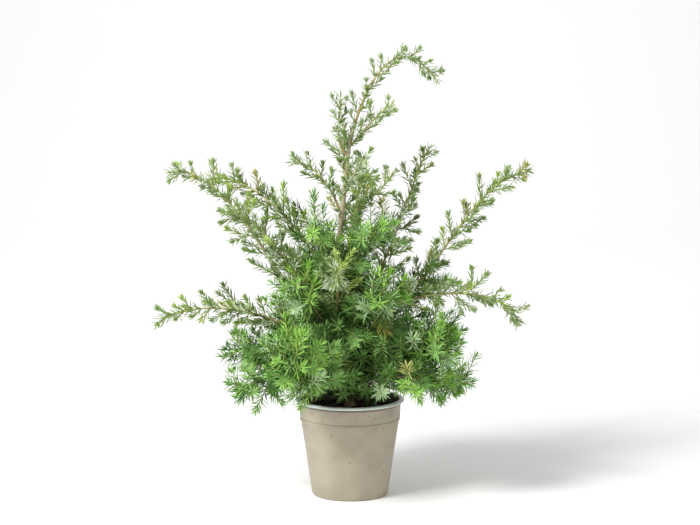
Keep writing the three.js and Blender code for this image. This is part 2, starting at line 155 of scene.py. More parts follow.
def blend_colours(material, factor, first, second):
    """Mixes two colours. 0, 6 and 7 are the mix node's factor and its two colour sockets."""
    sockets = {0: factor, 6: first, 7: second}
    return add_node(material, "ShaderNodeMix", sockets, data_type="RGBA").outputs[2]


def add_bump(material, height, strength, depth_mm):
    sockets = {"Height": height, "Strength": strength, "Distance": depth_mm * MM}
    feed_shader(material, "Normal", add_node(material, "ShaderNodeBump", sockets).outputs["Normal"])


# %% Selecting
def deselect_all():
    if bpy.context.object and bpy.context.object.mode == "EDIT":
        bpy.ops.object.mode_set(mode="OBJECT")
    bpy.ops.object.select_all(action="DESELECT")


def select_only(piece):
    deselect_all()
    piece.select_set(True)
    bpy.context.view_layer.objects.active = piece


def apply_place(piece):
    """Puts the object's place and size into its mesh, so that the object itself sits at the origin."""
    select_only(piece)
    bpy.ops.object.transform_apply(location=True, rotation=True, scale=True)


def select_parts(piece, kind, wanted):
    """Enters edit mode with the edges or faces selected that pass a test on the part and its corners."""
    mesh = piece.data
    select_only(piece)
    bpy.ops.object.mode_set(mode="EDIT")
    bpy.ops.mesh.select_mode(type=kind)
    bpy.ops.mesh.select_all(action="DESELECT")
    bpy.ops.object.mode_set(mode="OBJECT")
    for part in mesh.edges if kind == "EDGE" else mesh.polygons:
        part.select = bool(wanted(part, *(mesh.vertices[i].co for i in part.vertices)))
    bpy.ops.object.mode_set(mode="EDIT")


# %% Floor
FLOOR_SIZE = 8
SWEEP_RADIUS = 2.2
BELOW_POT = 0.0003
deselect_all()
bpy.ops.mesh.primitive_plane_add(size=FLOOR_SIZE, location=(0, 0, -BELOW_POT))
floor = bpy.context.object
floor.name = "floor"
apply_place(floor)
select_parts(floor, "EDGE", lambda edge, one, other: one.y > 0 and other.y > 0)
bpy.ops.mesh.extrude_region_move(TRANSFORM_OT_translate={"value": (0, 0, FLOOR_SIZE / 2)})
select_parts(floor, "EDGE", lambda edge, one, other: min(one.y, other.y) > 0 and max(one.z, other.z) < 1)
bpy.ops.mesh.bevel(offset=SWEEP_RADIUS, segments=24, affect="EDGES")
bpy.ops.object.mode_set(mode="OBJECT")
bpy.ops.object.shade_smooth()
floor.data.materials.append(new_material("pale_floor", (244, 244, 243), 0.85))
print("floor:", len(floor.data.polygons), "faces")

# %% Light
WORLD_STRENGTH = 0.42
world = bpy.data.worlds.new("soft_white")
world.use_nodes = True
world.node_tree.nodes["Background"].inputs["Color"].default_value = (1.0, 1.0, 1.0, 1.0)
world.node_tree.nodes["Background"].inputs["Strength"].default_value = WORLD_STRENGTH
bpy.context.scene.world = world
bpy.context.scene.view_settings.view_transform = "Standard"


def add_soft_light(name, place, size, power, aim_at=(0, 0, 0.18)):
    """A square area light that faces the middle of the plant, or another place."""
    aim = (Vector(aim_at) - Vector(place)).to_track_quat("-Z", "Y").to_euler()
    bpy.ops.object.light_add(type="AREA", location=place, rotation=aim)
    light = bpy.context.object
    light.name = name
    light.data.size = size
    light.data.energy = power


add_soft_light("light_upper_left", (-1.05, -0.95, 1.35), 0.55, 44)
add_soft_light("light_right", (1.3, -0.9, 0.9), 1.0, 7)
add_soft_light("light_on_backdrop", (0, 1.6, 2.4), 2.5, 40, aim_at=(0, 3.6, 0.6))

# %% [markdown]
# ## The pot
# The real pot is a thin moulded shell: a tapering body, a small step out to a collar that lets pots stack,
# and a rolled lip. It could be lathed with Spin from a profile, or built up ring by ring. Ring by ring is
# chosen here, because every ring is a named radius and height: a circle is added at the first ring, and
# its edge loop is extruded and scaled to the next, up the outside, over the lip and down the inside. Both
# ends are then filled, and the drain holes are cut by a Boolean.

# %% Sizes of the pot
POT_HEIGHT = 80
RIM_RADIUS = 45
BASE_RADIUS = 31.5
COLLAR_RADIUS = 42.2
COLLAR_STEP = 0.8
LIP_HEIGHT = 2.4
WALL = 1.2
POT_FLOOR = 1.6
LIP_FOOT = POT_HEIGHT - LIP_HEIGHT
COLLAR_FOOT = LIP_FOOT - 15
COLLAR_FOOT_RADIUS = COLLAR_RADIUS - COLLAR_STEP
BODY_RADIUS = COLLAR_FOOT_RADIUS - COLLAR_STEP
GROOVE_HEIGHT = COLLAR_FOOT + 2.2
GROOVE = 0.25
POT_SIDES = 120


def mix(first, second, share):
    return first + (second - first) * share


def body_radius(height):
    return mix(BASE_RADIUS, BODY_RADIUS, height / COLLAR_FOOT)


def collar_radius(height):
    return mix(COLLAR_FOOT_RADIUS, COLLAR_RADIUS, (height - COLLAR_FOOT) / (LIP_FOOT - COLLAR_FOOT))


def arc(middle_radius, middle_height, radius, start, end, steps):
    """Rings round a quarter or half circle of the profile. Angles in degrees, 0 points outwards."""
    angles = np.radians(np.linspace(start, end, steps))
    return [(middle_radius + radius * math.cos(a), middle_height + radius * math.sin(a)) for a in angles]


print("pot:", 2 * RIM_RADIUS, "mm across the rim,", POT_HEIGHT, "mm tall, wall", WALL, "mm")

# %% Build the pot's shell
def build_from_rings(name, rings, sides):
    """A closed turned piece: rings of (radius, height), each extruded and scaled from the last."""
    deselect_all()
    radius, height = rings[0]
    bpy.ops.mesh.primitive_circle_add(vertices=sides, radius=radius * MM, location=(0, 0, height * MM))
    piece = bpy.context.object
    piece.name = name
    apply_place(piece)
    bpy.ops.object.mode_set(mode="EDIT")
    bpy.ops.mesh.select_mode(type="EDGE")
    bpy.ops.mesh.select_all(action="SELECT")
    for next_radius, next_height in rings[1:]:
        rise = (0, 0, (next_height - height) * MM)
        bpy.ops.mesh.extrude_region_move(TRANSFORM_OT_translate={"value": rise})
        share = next_radius / radius
        bpy.ops.transform.resize(value=(share, share, 1), center_override=(0, 0, next_height * MM))
        radius, height = next_radius, next_height
    bpy.ops.mesh.select_all(action="SELECT")
    bpy.ops.mesh.fill_holes(sides=0)
    bpy.ops.mesh.select_all(action="SELECT")
    bpy.ops.mesh.normals_make_consistent(inside=False)
    bpy.ops.object.mode_set(mode="OBJECT")
    return piece


LIP_ROUND = LIP_HEIGHT / 2
pot_rings = [
    # the underside, with a low ring that the pot stands on
    (4, 0.5),
    (26.5, 0.5),
    (27.3, 0),
    (BASE_RADIUS - 0.9, 0),
    (BASE_RADIUS - 0.3, 0.2),
    # the body, and the collar with its groove
    *[(body_radius(height), height) for height in (0.8, 20, 40)],
    (BODY_RADIUS, COLLAR_FOOT - COLLAR_STEP),
    (COLLAR_FOOT_RADIUS - 0.1, COLLAR_FOOT - 0.3),
    (COLLAR_FOOT_RADIUS, COLLAR_FOOT),
    (collar_radius(GROOVE_HEIGHT - 0.5), GROOVE_HEIGHT - 0.5),
    (collar_radius(GROOVE_HEIGHT) - GROOVE, GROOVE_HEIGHT),
    (collar_radius(GROOVE_HEIGHT + 0.5), GROOVE_HEIGHT + 0.5),
    (COLLAR_RADIUS - 0.1, LIP_FOOT - 0.4),
    (COLLAR_RADIUS + 0.2, LIP_FOOT),
    # over the lip and down the inside
    *arc(RIM_RADIUS - LIP_ROUND, LIP_FOOT + LIP_ROUND, LIP_ROUND, -90, 90, 9),
    *arc(COLLAR_RADIUS - WALL + 0.8, POT_HEIGHT - 0.8, 0.8, 90, 180, 5),
    (COLLAR_RADIUS - WALL - 0.05, LIP_FOOT),
    (COLLAR_FOOT_RADIUS - WALL, COLLAR_FOOT),
    (BODY_RADIUS - WALL, COLLAR_FOOT - COLLAR_STEP),
    (body_radius(POT_FLOOR) - WALL, POT_FLOOR),
    (4, POT_FLOOR),
]
pot = build_from_rings("pot_shell", pot_rings, POT_SIDES)
print("pot shell:", len(pot_rings), "rings,", len(pot.data.polygons), "faces")

# %% [markdown]
# The drain holes are six round bores in a ring. A cutter is put at each place, the six are joined, and one
# Boolean takes them out of the floor. The step between body and collar gets a fine bevel, because a
# moulded edge is never quite sharp and a small bevel catches the light.

# %% Cut the drain holes and soften the edges
DRAIN_HOLES = 6
DRAIN_RADIUS = 3
DRAIN_CIRCLE = 22
CUTTER = dict(vertices=28, radius=DRAIN_RADIUS * MM, depth=8 * MM)
EDGE_BEVEL = 0.15
deselect_all()
cutters = []
for hole in range(DRAIN_HOLES):
    angle = TURN * (hole + 0.5) / DRAIN_HOLES
    place = (DRAIN_CIRCLE * math.cos(angle) * MM, DRAIN_CIRCLE * math.sin(angle) * MM, 0)
    bpy.ops.mesh.primitive_cylinder_add(**CUTTER, location=place)
    cutters.append(bpy.context.object)
for cutter in cutters:
    cutter.select_set(True)
bpy.context.view_layer.objects.active = cutters[0]
bpy.ops.object.join()
cutter = bpy.context.object
select_only(pot)
cut = pot.modifiers.new("drain_holes", "BOOLEAN")
cut.operation = "DIFFERENCE"
cut.solver = "EXACT"
cut.object = cutter
bpy.ops.object.modifier_apply(modifier=cut.name)
bpy.data.objects.remove(cutter)
bevel = pot.modifiers.new("soft_edges", "BEVEL")
bevel.width = EDGE_BEVEL * MM
bevel.segments = 2
bevel.limit_method = "ANGLE"
bevel.angle_limit = math.radians(38)
bpy.ops.object.modifier_apply(modifier=bevel.name)
bpy.ops.object.shade_smooth_by_angle(angle=math.radians(30))
print("pot with drain holes:", len(pot.data.polygons), "faces")

# %% [markdown]
# ### The pot's plastic
# The pot is taupe outside and blue-grey inside. Its lip is shinier, and the paler colour there is a painted
# highlight. Up close the taupe is not even: it is a little cloudy, has fine dark specks of peat that splashed
# on while potting, and is dusty and duller towards the rim where hands and water go. Painted shade lies as
# dark lines in the groove and under the lip, made patchy by the cloud. All of that is noise, Voronoi cells
# and height on the piece's own coordinates, so it holds from every side.

# %% Plastic finishes
# Painted shade: dark lines at the groove and just under the lip, where the real pot is shaded.
PAINTED_SHADE_LINES = (
    (GROOVE_HEIGHT * MM, 0.0007, 0.7),
    ((LIP_FOOT - 0.8) * MM, 0.0016, 1.4),
)  # height and half width in metres, strength
DUST_HEIGHTS = (0.045, 0.08)
SPECK_SIZE, CELLS_WITHOUT = 0.2, 0.955
DUST, PEAT_SPECK, PAINTED_SHADE_COLOUR = (108, 92, 72), (58, 44, 34), (78, 72, 62)


def painted_shade_line(material, height, middle, half_width, strength):
    """Strongest at the middle height, fading to 0 at half a line's width above and below it."""
    away = calculate(material, "ABSOLUTE", calculate(material, "SUBTRACT", height, middle))
    return remap(material, away, 0, half_width, strength, 0)


def splashed_plastic(name, pale, dark, roughness):
    """Cloudy plastic with dust, a few dark specks and lines of painted shade."""
    material = new_material(name, pale, roughness)
    place = add_node(material, "ShaderNodeTexCoord").outputs["Object"]
    height = add_node(material, "ShaderNodeSeparateXYZ", {0: place}).outputs["Z"]
    cloud = noise(material, place, 55, 4)
    body = colour_ramp(material, cloud, [(0.3, dark), (0.7, pale)])
    smear = remap(material, noise(material, place, 130, 6), 0.5, 0.8)
    dust = product(material, remap(material, height, *DUST_HEIGHTS), smear, 0.4)
    dusty = blend_colours(material, dust, body, linear(*DUST))
    cells = add_node(material, "ShaderNodeTexVoronoi", {"Vector": place, "Scale": 330}).outputs
    close = calculate(material, "LESS_THAN", cells["Distance"], SPECK_SIZE)
    cell_colour = add_node(material, "ShaderNodeSeparateColor", {0: cells["Color"]}).outputs[0]
    chosen = calculate(material, "GREATER_THAN", cell_colour, CELLS_WITHOUT)
    specked = blend_colours(material, product(material, close, chosen, 0.75), dusty, linear(*PEAT_SPECK))
    # painted shade in the groove and under the lip, made patchy by the cloud
    painted_shade = calculate(material, "MAXIMUM", *(painted_shade_line(material, height, *line) for line in PAINTED_SHADE_LINES))
    painted_shade = product(material, painted_shade, remap(material, cloud, 0.35, 0.65, 0.45, 0.7))
    feed_shader(material, "Base Color", blend_colours(material, painted_shade, specked, linear(*PAINTED_SHADE_COLOUR)))
    feed_shader(material, "Roughness", remap(material, smear, 0, 1, roughness, roughness + 0.25))
    add_bump(material, noise(material, place, 900, 2), 0.15, 0.1)
    return material


pot_finishes = [
    splashed_plastic("taupe_plastic", (166, 156, 137), (152, 142, 122), 0.42),
    # The lip's paler colour is a painted highlight; its lower roughness gives it a real shine as well.
    splashed_plastic("lip_plastic_painted_highlight", (208, 216, 210), (188, 198, 193), 0.26),
    splashed_plastic("blue_grey_plastic", (146, 158, 156), (124, 138, 136), 0.36),
]
OUTSIDE, LIP, INSIDE = 0, 1, 2
for finish in pot_finishes:
    pot.data.materials.append(finish)


def finish_of(middle):
    if middle.z > LIP_FOOT - 0.05:
        return LIP
    inner = math.hypot(middle.x, middle.y) < body_radius(min(middle.z, COLLAR_FOOT)) - WALL / 2
    return INSIDE if inner and middle.z > 1 else OUTSIDE


for face in pot.data.polygons:
    face.material_index = finish_of(face.center / MM)
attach(pot, "root")
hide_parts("pot")
for word, index in (("outside", OUTSIDE), ("lip", LIP), ("inside", INSIDE)):
    print("faces of the pot's", word, sum(face.material_index == index for face in pot.data.polygons))

# %% [markdown]
# ## The soil
# Potting peat is a dark, loose crumb with pale root fibres in it. It stands about a centimetre below the rim
# and is a little higher round the trunk. The plug is built from rings like the pot, with close rings across
# its top. Those top vertices are then jostled with the randomize transform, and loose crumbs and
# fibres are strewn on top. A crumb is modelled once and copied, because there are hundreds.

# %% The plug of peat
GAP = 0.3
SOIL_TOP = 73
SOIL_EDGE = 70.5
SOIL_RADIUS = COLLAR_FOOT_RADIUS - WALL - GAP
MOUND_RADIUS = 11
SOIL_SIDES = 132
RING_SPACING = 1.45
JOSTLE = 1.3


def soil_height(radius):
    radii = [MOUND_RADIUS, 0.55 * COLLAR_RADIUS, SOIL_RADIUS]
    return np.interp(radius, radii, [SOIL_TOP, mix(SOIL_EDGE, SOIL_TOP, 0.6), SOIL_EDGE])


soil_rings = [
    (6, POT_FLOOR + GAP),
    (body_radius(POT_FLOOR) - WALL - GAP - 0.8, POT_FLOOR + GAP),
    (BODY_RADIUS - WALL - GAP, COLLAR_FOOT - 2 * COLLAR_STEP),
    (SOIL_RADIUS, COLLAR_FOOT + COLLAR_STEP),
    (SOIL_RADIUS, SOIL_EDGE - 1),
    *[(radius, float(soil_height(radius))) for radius in np.arange(SOIL_RADIUS, 2, -RING_SPACING)],
]
soil = build_from_rings("soil_plug", soil_rings, SOIL_SIDES)
on_top = (SOIL_EDGE - 0.5) * MM
select_parts(soil, "FACE", lambda face, *corners: face.normal.z > 0.5 and face.center.z > on_top)
bpy.ops.mesh.select_mode(type="VERT")
bpy.ops.transform.vertex_random(offset=JOSTLE * MM, uniform=0.35, normal=0.65, seed=5)
bpy.ops.mesh.vertices_smooth(factor=0.35)
bpy.ops.object.mode_set(mode="OBJECT")
bpy.ops.object.shade_smooth_by_angle(angle=math.radians(60))
print("soil plug:", len(soil.data.polygons), "faces")

# %% [markdown]
# ### Arrays to meshes
# The crumbs, the twigs and the needles are far too many to model one by one. Each kind is worked out as
# arrays of points with NumPy and becomes one mesh. A few helpers do it: one fills a mesh from arrays, one
# repeats the faces of a shape for all its copies, one makes tubes along rows of points, and one gathers
# several arrays into one.

# %% Helpers that turn arrays into meshes
def mesh_from_arrays(name, vertices, triangles, materials, slots=None, smooth=False):
    """A mesh object from points in millimetres and triangles, with its own material slots."""
    mesh = bpy.data.meshes.new(name)
    mesh.vertices.add(len(vertices))
    mesh.vertices.foreach_set("co", (np.asarray(vertices) * MM).astype(np.float32).ravel())
    mesh.loops.add(triangles.size)
    mesh.loops.foreach_set("vertex_index", triangles.astype(np.int32).ravel())
    mesh.polygons.add(len(triangles))
    mesh.polygons.foreach_set("loop_start", np.arange(0, triangles.size, 3, dtype=np.int32))
    for material in materials:
        mesh.materials.append(material)
    if slots is not None:
        mesh.polygons.foreach_set("material_index", slots.astype(np.int32))
    mesh.polygons.foreach_set("use_smooth", np.full(len(triangles), smooth))
    mesh.update(calc_edges=True)
    piece = bpy.data.objects.new(name, mesh)
    bpy.context.scene.collection.objects.link(piece)
    return piece


def faces_of_copies(faces, points_each, count):
    return (faces[None] + points_each * np.arange(count)[:, None, None]).reshape(-1, 3)


def gathered(parts):
    """Several (vertices, triangles) pairs as one pair."""
    starts = np.cumsum([0] + [len(vertices) for vertices, _ in parts])
    triangles = [triangles + start for (_, triangles), start in zip(parts, starts)]
    return np.concatenate([vertices for vertices, _ in parts]), np.concatenate(triangles)


def unit(vectors):
    return vectors / np.linalg.norm(vectors, axis=-1, keepdims=True)


def tubes_along(paths, radii, sides, side=None):
    """Closed tubes along n paths of k points: paths is (n, k, 3), radii is (n, k)."""
    heading = unit(np.gradient(paths, axis=1))
    if side is None:
        helper = np.where(np.abs(heading[:, :1, 2:]) > 0.9, [1.0, 0, 0], [0, 0, 1.0])
        side = np.cross(np.broadcast_to(helper, heading.shape), heading)
    side = unit(side - heading * (side * heading).sum(-1, keepdims=True))
    other = np.cross(heading, side)
    angle = (TURN * np.arange(sides) / sides)[:, None]
    ring = np.cos(angle) * side[:, :, None, :] + np.sin(angle) * other[:, :, None, :]
    vertices = paths[:, :, None, :] + radii[:, :, None, None] * ring
    corner = np.arange(vertices.size // 3).reshape(vertices.shape[:3])
    low, high = corner[:, :-1], corner[:, 1:]
    low_next, high_next = np.roll(low, -1, axis=2), np.roll(high, -1, axis=2)
    faces = [np.stack([low, low_next, high_next], -1), np.stack([low, high_next, high], -1)]
    first, last = corner[:, 0], corner[:, -1]
    for k in range(1, sides - 1):
        faces.append(np.stack([first[:, 0], first[:, k + 1], first[:, k]], -1))
        faces.append(np.stack([last[:, 0], last[:, k], last[:, k + 1]], -1))
    return vertices.reshape(-1, 3), np.concatenate([group.reshape(-1, 3) for group in faces])


# %% Crumbs on the soil
CRUMBS = 900
strewn = np.random.default_rng(11)
deselect_all()
bpy.ops.mesh.primitive_ico_sphere_add(subdivisions=1, radius=1)
crumb = bpy.context.object
bpy.ops.object.mode_set(mode="EDIT")
bpy.ops.transform.vertex_random(offset=0.32, uniform=0.8, normal=0.2, seed=3)
bpy.ops.object.mode_set(mode="OBJECT")
crumb_points = np.array([vertex.co for vertex in crumb.data.vertices])
crumb_faces = np.array([face.vertices[:] for face in crumb.data.polygons])
bpy.data.objects.remove(crumb)


def strew(count, nearest, span):
    """Seeded places that are spread evenly over the soil: distances from the middle, and angles."""
    return nearest + span * np.sqrt(strewn.random(count)), TURN * strewn.random(count)


radius, angle = strew(CRUMBS, 5.5, SOIL_RADIUS - 7.2)
size = 0.35 + 1.15 * strewn.random((CRUMBS, 1)) ** 2.5
stretch = size * strewn.uniform(0.6, 1.15, (CRUMBS, 3))
turns = np.linalg.qr(strewn.normal(size=(CRUMBS, 3, 3)))[0]
turns *= np.sign(np.linalg.det(turns))[:, None, None]
height = soil_height(radius) + 0.45 * size[:, 0]
places = np.stack([radius * np.cos(angle), radius * np.sin(angle), height], 1)
crumb_vertices = np.einsum("nij,nkj->nki", turns, crumb_points * stretch[:, None, :]) + places[:, None, :]
crumbs = (crumb_vertices.reshape(-1, 3), faces_of_copies(crumb_faces, len(crumb_points), CRUMBS))
print("crumbs:", CRUMBS)

# %% Root fibres
FIBRES = 130
FIBRE_RADIUS = 0.16
radius, angle = (values[:, None] for values in strew(FIBRES, 6, SOIL_RADIUS - 11))
heading = TURN * strewn.random(FIBRES)[:, None]
bend = strewn.uniform(-1.2, 1.2, FIBRES)[:, None]
reach = strewn.uniform(2.5, 7, FIBRES)[:, None]
steps = np.linspace(-0.5, 0.5, 5)[None]
across = heading + bend * steps
paths = np.stack(
    [
        radius * np.cos(angle) + reach * steps * np.cos(across),
        radius * np.sin(angle) + reach * steps * np.sin(across),
        soil_height(radius) + 0.9 - 1.6 * steps**2,
    ],
    -1,
)
fibres = tubes_along(paths, np.full(paths.shape[:2], FIBRE_RADIUS), 3)
print("fibres:", FIBRES)

# %% [markdown]
# ### The peat's finish
# Moist peat is almost black, with brown and paler bits in it, and it never shines. Speckled colours could
# be dealt out by face, but the faces are larger than the bits. So noise on the piece's own coordinates
# picks between three browns, and a finer noise drives a bump. The crumbs are drier and paler.

# %% Peat finishes
def peat_finish(name, dark, brown, pale):
    """Moist peat: three browns in patches of different size, dull and rough."""
    material = new_material(name, brown, 0.95)
    place = add_node(material, "ShaderNodeTexCoord").outputs["Object"]
    patches = noise(material, place, 420, 6, roughness=0.7)
    browns = colour_ramp(material, patches, [(0.3, dark), (0.55, brown), (0.8, pale)])
    feed_shader(material, "Base Color", browns)
    add_bump(material, noise(material, place, 1500, 4), 0.9, 0.6)
    return material


soil.data.materials.append(peat_finish("moist_peat", (24, 17, 12), (44, 31, 22), (84, 62, 44)))
crumb_peat = peat_finish("crumbly_peat", (30, 21, 15), (58, 42, 30), (104, 80, 58))
fibre_finish = new_material("root_fibre", (150, 120, 84), 0.8)
crumb_piece = mesh_from_arrays("soil_crumbs", *crumbs, [crumb_peat])
fibre_piece = mesh_from_arrays("soil_fibres", *fibres, [fibre_finish], smooth=True)
for piece in (soil, crumb_piece, fibre_piece):
    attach(piece, "root")
    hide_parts("soil")
    print(piece.name, len(piece.data.polygons), "faces")

# %% [markdown]
# ## How the plant grows
# The model's solids grew by a rule, and the finer plant has to grow from the same limbs. So the rule is
# written again here. A limb is a Bezier curve that leaves the trunk at one heading and comes to its tip at
# another. The first part of a long limb is a bare bough, and the rest is a foliage stem with side shoots.
# The long limbs are named one by one, because they give this plant its outline. The short ones stand in
# rings round the trunk, with a little seeded chance in them.

# %% Curves by their length
class Line:
    """A curve that gives points at shares of its length."""

    def __init__(self, point_at):
        self.point_at = point_at
        self.times = np.linspace(0, 1, 201)
        steps = np.linalg.norm(np.diff(point_at(self.times), axis=0), axis=1)
        self.reached = np.concatenate([[0], np.cumsum(steps)])
        self.length = self.reached[-1]

    def at(self, shares):
        return self.point_at(np.interp(np.asarray(shares) * self.length, self.reached, self.times))


def bezier(a, b, c, d):
    def point_at(times):
        t = np.asarray(times)[:, None]
        return (1 - t) ** 3 * a + 3 * (1 - t) ** 2 * t * b + 3 * (1 - t) * t**2 * c + t**3 * d

    return Line(point_at)


def through_points(points):
    """A smooth curve through points: a centripetal Catmull-Rom spline."""
    padded = np.concatenate([[2 * points[0] - points[1]], points, [2 * points[-1] - points[-2]]])
    spans = np.sqrt(np.linalg.norm(np.diff(padded, axis=0), axis=1))

    def point_at(times):
        place = np.asarray(times) * (len(points) - 1)
        i = np.minimum(place.astype(int), len(points) - 2)
        t = (place - i)[:, None]
        p0, p1, p2, p3 = (padded[i + k] for k in range(4))
        d0, d1, d2 = (spans[i + k][:, None] for k in range(3))
        start = ((p1 - p0) / d0 - (p2 - p0) / (d0 + d1) + (p2 - p1) / d1) * d1
        end = ((p2 - p1) / d1 - (p3 - p1) / (d1 + d2) + (p3 - p2) / d2) * d1
        curve = (2 * p1 - 2 * p2 + start + end) * t**3 + (3 * p2 - 3 * p1 - 2 * start - end) * t**2
        return curve + start * t + p1

    return Line(point_at)


# %% The trunk's line and thickness
TRUNK_FOOT = SOIL_TOP + GAP
TRUNK_RADIUS = 3.1
FLARE_RADIUS = 5.4
FLARE_HEIGHT = 9
LEADER_RADIUS = 1.4
LEADER_TOP = 300
BENDS = [[0, 0, TRUNK_FOOT], [-6, 2, 115], [-13, 1, 174], [-7, -2, 228], [-1, 0, 286], [2, 0.5, LEADER_TOP]]
TRUNK_LINE = through_points(np.array(BENDS, float))
TRUNK_POINTS = TRUNK_LINE.at(np.linspace(0, 1, 19))
LEADER_BENDS = np.array([[14, 2, 343], [38, 4, 386], [70, 4, 343]], float)
LEADER_CURVE = bezier(TRUNK_POINTS[-1], *LEADER_BENDS)


def trunk_radius(height):
    above = np.maximum(0, height - TRUNK_FOOT)
    foot = np.maximum(0, 1 - above / FLARE_HEIGHT)
    taper = mix(TRUNK_RADIUS, LEADER_RADIUS, above / (LEADER_TOP - TRUNK_FOOT))
    return taper + (FLARE_RADIUS - TRUNK_RADIUS) * foot**2


def trunk_at(height):
    heights = TRUNK_POINTS[:, 2]
    return np.array([np.interp(height, heights, TRUNK_POINTS[:, axis]) for axis in range(3)])


print("trunk line:", round(TRUNK_LINE.length), "mm, leader's tip:", round(LEADER_CURVE.length), "mm")

# %% Named limbs
# Bearing in degrees from +X; height where it leaves the trunk; reach and height of the tip; degrees
# upwards at the root and at the tip; share that is bare bough.
LIMB_WORDS = ("bearing", "leaves", "reach", "top", "rise", "pitch", "bough")
LONG_LIMBS = {
    "west_arch": (184, 120, 145, 268, 44, -8, 0.3),
    "west_inner": (203, 124, 104, 240, 50, 14, 0),
    "west_mid": (170, 168, 118, 260, 66, -16, 0.24),
    "west_low": (191, 108, 157, 148, 46, -36, 0.34),
    "east_arch": (10, 108, 150, 266, 36, 6, 0.32),
    "east_nod": (-17, 122, 141, 150, 60, -76, 0.3),
    "east_upright": (28, 132, 74, 284, 46, 58, 0.26),
    "north_arch": (82, 140, 116, 252, 60, -38, 0.28),
    "north_low": (122, 118, 132, 178, 46, -32, 0.32),
    "south_arch": (-96, 134, 104, 190, 58, -58, 0.28),
}
SPRIGS = {
    "sprig_1": (164, 232, 49, 275, 72, -8, 0),
    "sprig_2": (12, 222, 34, 264, 50, 66, 0),
    "sprig_3": (-72, 246, 38, 282, 48, 30, 0),
    "sprig_4": (100, 264, 34, 302, 50, 40, 0),
    "sprig_5": (196, 280, 8, 328, 44, 80, 0),
    "sprig_6": (-28, 288, 37, 322, 44, 24, 0),
}
TIERS = {  # how many limbs stand in the ring, and the first one's numbers
    "skirt": (6, (14, 84, 88, 104, 40, -32, 0.36)),
    "waist": (5, (36, 95, 97, 130, 36, 4, 0.28)),
    "shoulder": (5, (62, 136, 70, 182, 40, 28, 0)),
    "crown": (4, (26, 176, 46, 224, 46, 52, 0)),
}
SKIRT_DROOP = 18


def seeded_random(seed):
    """The same simple generator that the model's solids were grown with."""
    state = (seed * 2654435761) & 0xFFFFFFFF
    while True:
        state = (state * 1664525 + 1013904223) & 0xFFFFFFFF
        yield state / 4294967296


limb_plan = [
    dict(zip(LIMB_WORDS, values), name=name, habit=habit)
    for named, habit in ((LONG_LIMBS, "whippy"), (SPRIGS, "wispy"))
    for name, values in named.items()
]
chance = seeded_random(41)


def give_or_take(amount):
    return (next(chance) * 2 - 1) * amount


for tier, (count, values) in TIERS.items():
    for number in range(count):
        limb = dict(zip(LIMB_WORDS, values), name=f"{tier}_{number + 1}", habit="bushy")
        limb["bearing"] += 360 * number / count + give_or_take(9)
        limb["leaves"] += give_or_take(4)
        limb["reach"] *= 1 + give_or_take(0.1)
        limb["top"] += give_or_take(9)
        if tier == "skirt":
            limb["top"] -= SKIRT_DROOP * math.cos(math.radians(limb["bearing"])) ** 2
        limb_plan.append(limb)
print("limbs planned:", len(limb_plan))

# %% [markdown]
# ### Limbs that keep clear of each other
# On a plant no limb grows through another. Each limb in turn is tried at a few bearings and heights, and the
# place with the most room is kept. Distances from many points to many straight stretches are worked out in
# one go with arrays, in blocks so that the memory stays small.

# %% Distances and settling
ROOM_WANTED = 6.0
TURNED = (0, 6, -6, 12, -12, 18, -18, 24, -24)
TRIES = [(raised, turned) for raised in (0, 3, -3, 6, -6) for turned in TURNED]
BLOCK = 400000
ROOT_HANDLE, TIP_HANDLE = 0.42, 0.24  # of the Bezier curve, as shares of the distance from root to tip


def distances(points, starts, ends):
    """Distance from each point to each straight stretch."""
    way = ends - starts
    long = np.maximum((way**2).sum(1), 1e-12)
    found = []
    for block in np.array_split(points, max(1, len(points) * len(starts) // BLOCK)):
        across = block[:, None] - starts
        share = np.clip((across * way).sum(-1) / long, 0, 1)
        found.append(np.linalg.norm(across - share[..., None] * way, axis=-1))
    return np.concatenate(found)


def off_trunk(points):
    nearest = distances(points, TRUNK_POINTS[:-1], TRUNK_POINTS[1:]).min(1)
    return nearest - trunk_radius(points[:, 2])


def limb_curve(limb):
    root = trunk_at(limb["leaves"])
    bearing = math.radians(limb["bearing"])
    outward = np.array([math.cos(bearing), math.sin(bearing), 0])
    tip = outward * limb["reach"] + [0, 0, limb["top"]]
    chord = np.linalg.norm(tip - root)

    def heading(pitch):
        return outward * math.cos(math.radians(pitch)) + [0, 0, math.sin(math.radians(pitch))]

    first = root + heading(limb["rise"]) * ROOT_HANDLE * chord
    second = tip - heading(limb["pitch"]) * TIP_HANDLE * chord
    return bezier(root, first, second, tip)


settled_starts = settled_ends = np.zeros((0, 3))
limbs = [{"name": "leader_tip", "curve": LEADER_CURVE, "habit": "wispy", "bough": 0}]
for limb in limb_plan:
    most_room = -1
    for raised, turned in TRIES:
        moved = dict(limb, bearing=limb["bearing"] + turned, leaves=limb["leaves"] + raised)
        moved["curve"] = limb_curve(moved)
        row = moved["curve"].at(np.linspace(0, 1, 31))
        row = row[off_trunk(row) > 0]
        room = distances(row, settled_starts, settled_ends).min(initial=ROOM_WANTED)
        if room > most_room:
            most_room, settled, settled_row = room, moved, row
        if room >= ROOM_WANTED:
            break
    limbs.append(settled)
    settled_starts = np.concatenate([settled_starts, settled_row[:-1]])
    settled_ends = np.concatenate([settled_ends, settled_row[1:]])
print("limbs settled:", len(limbs))

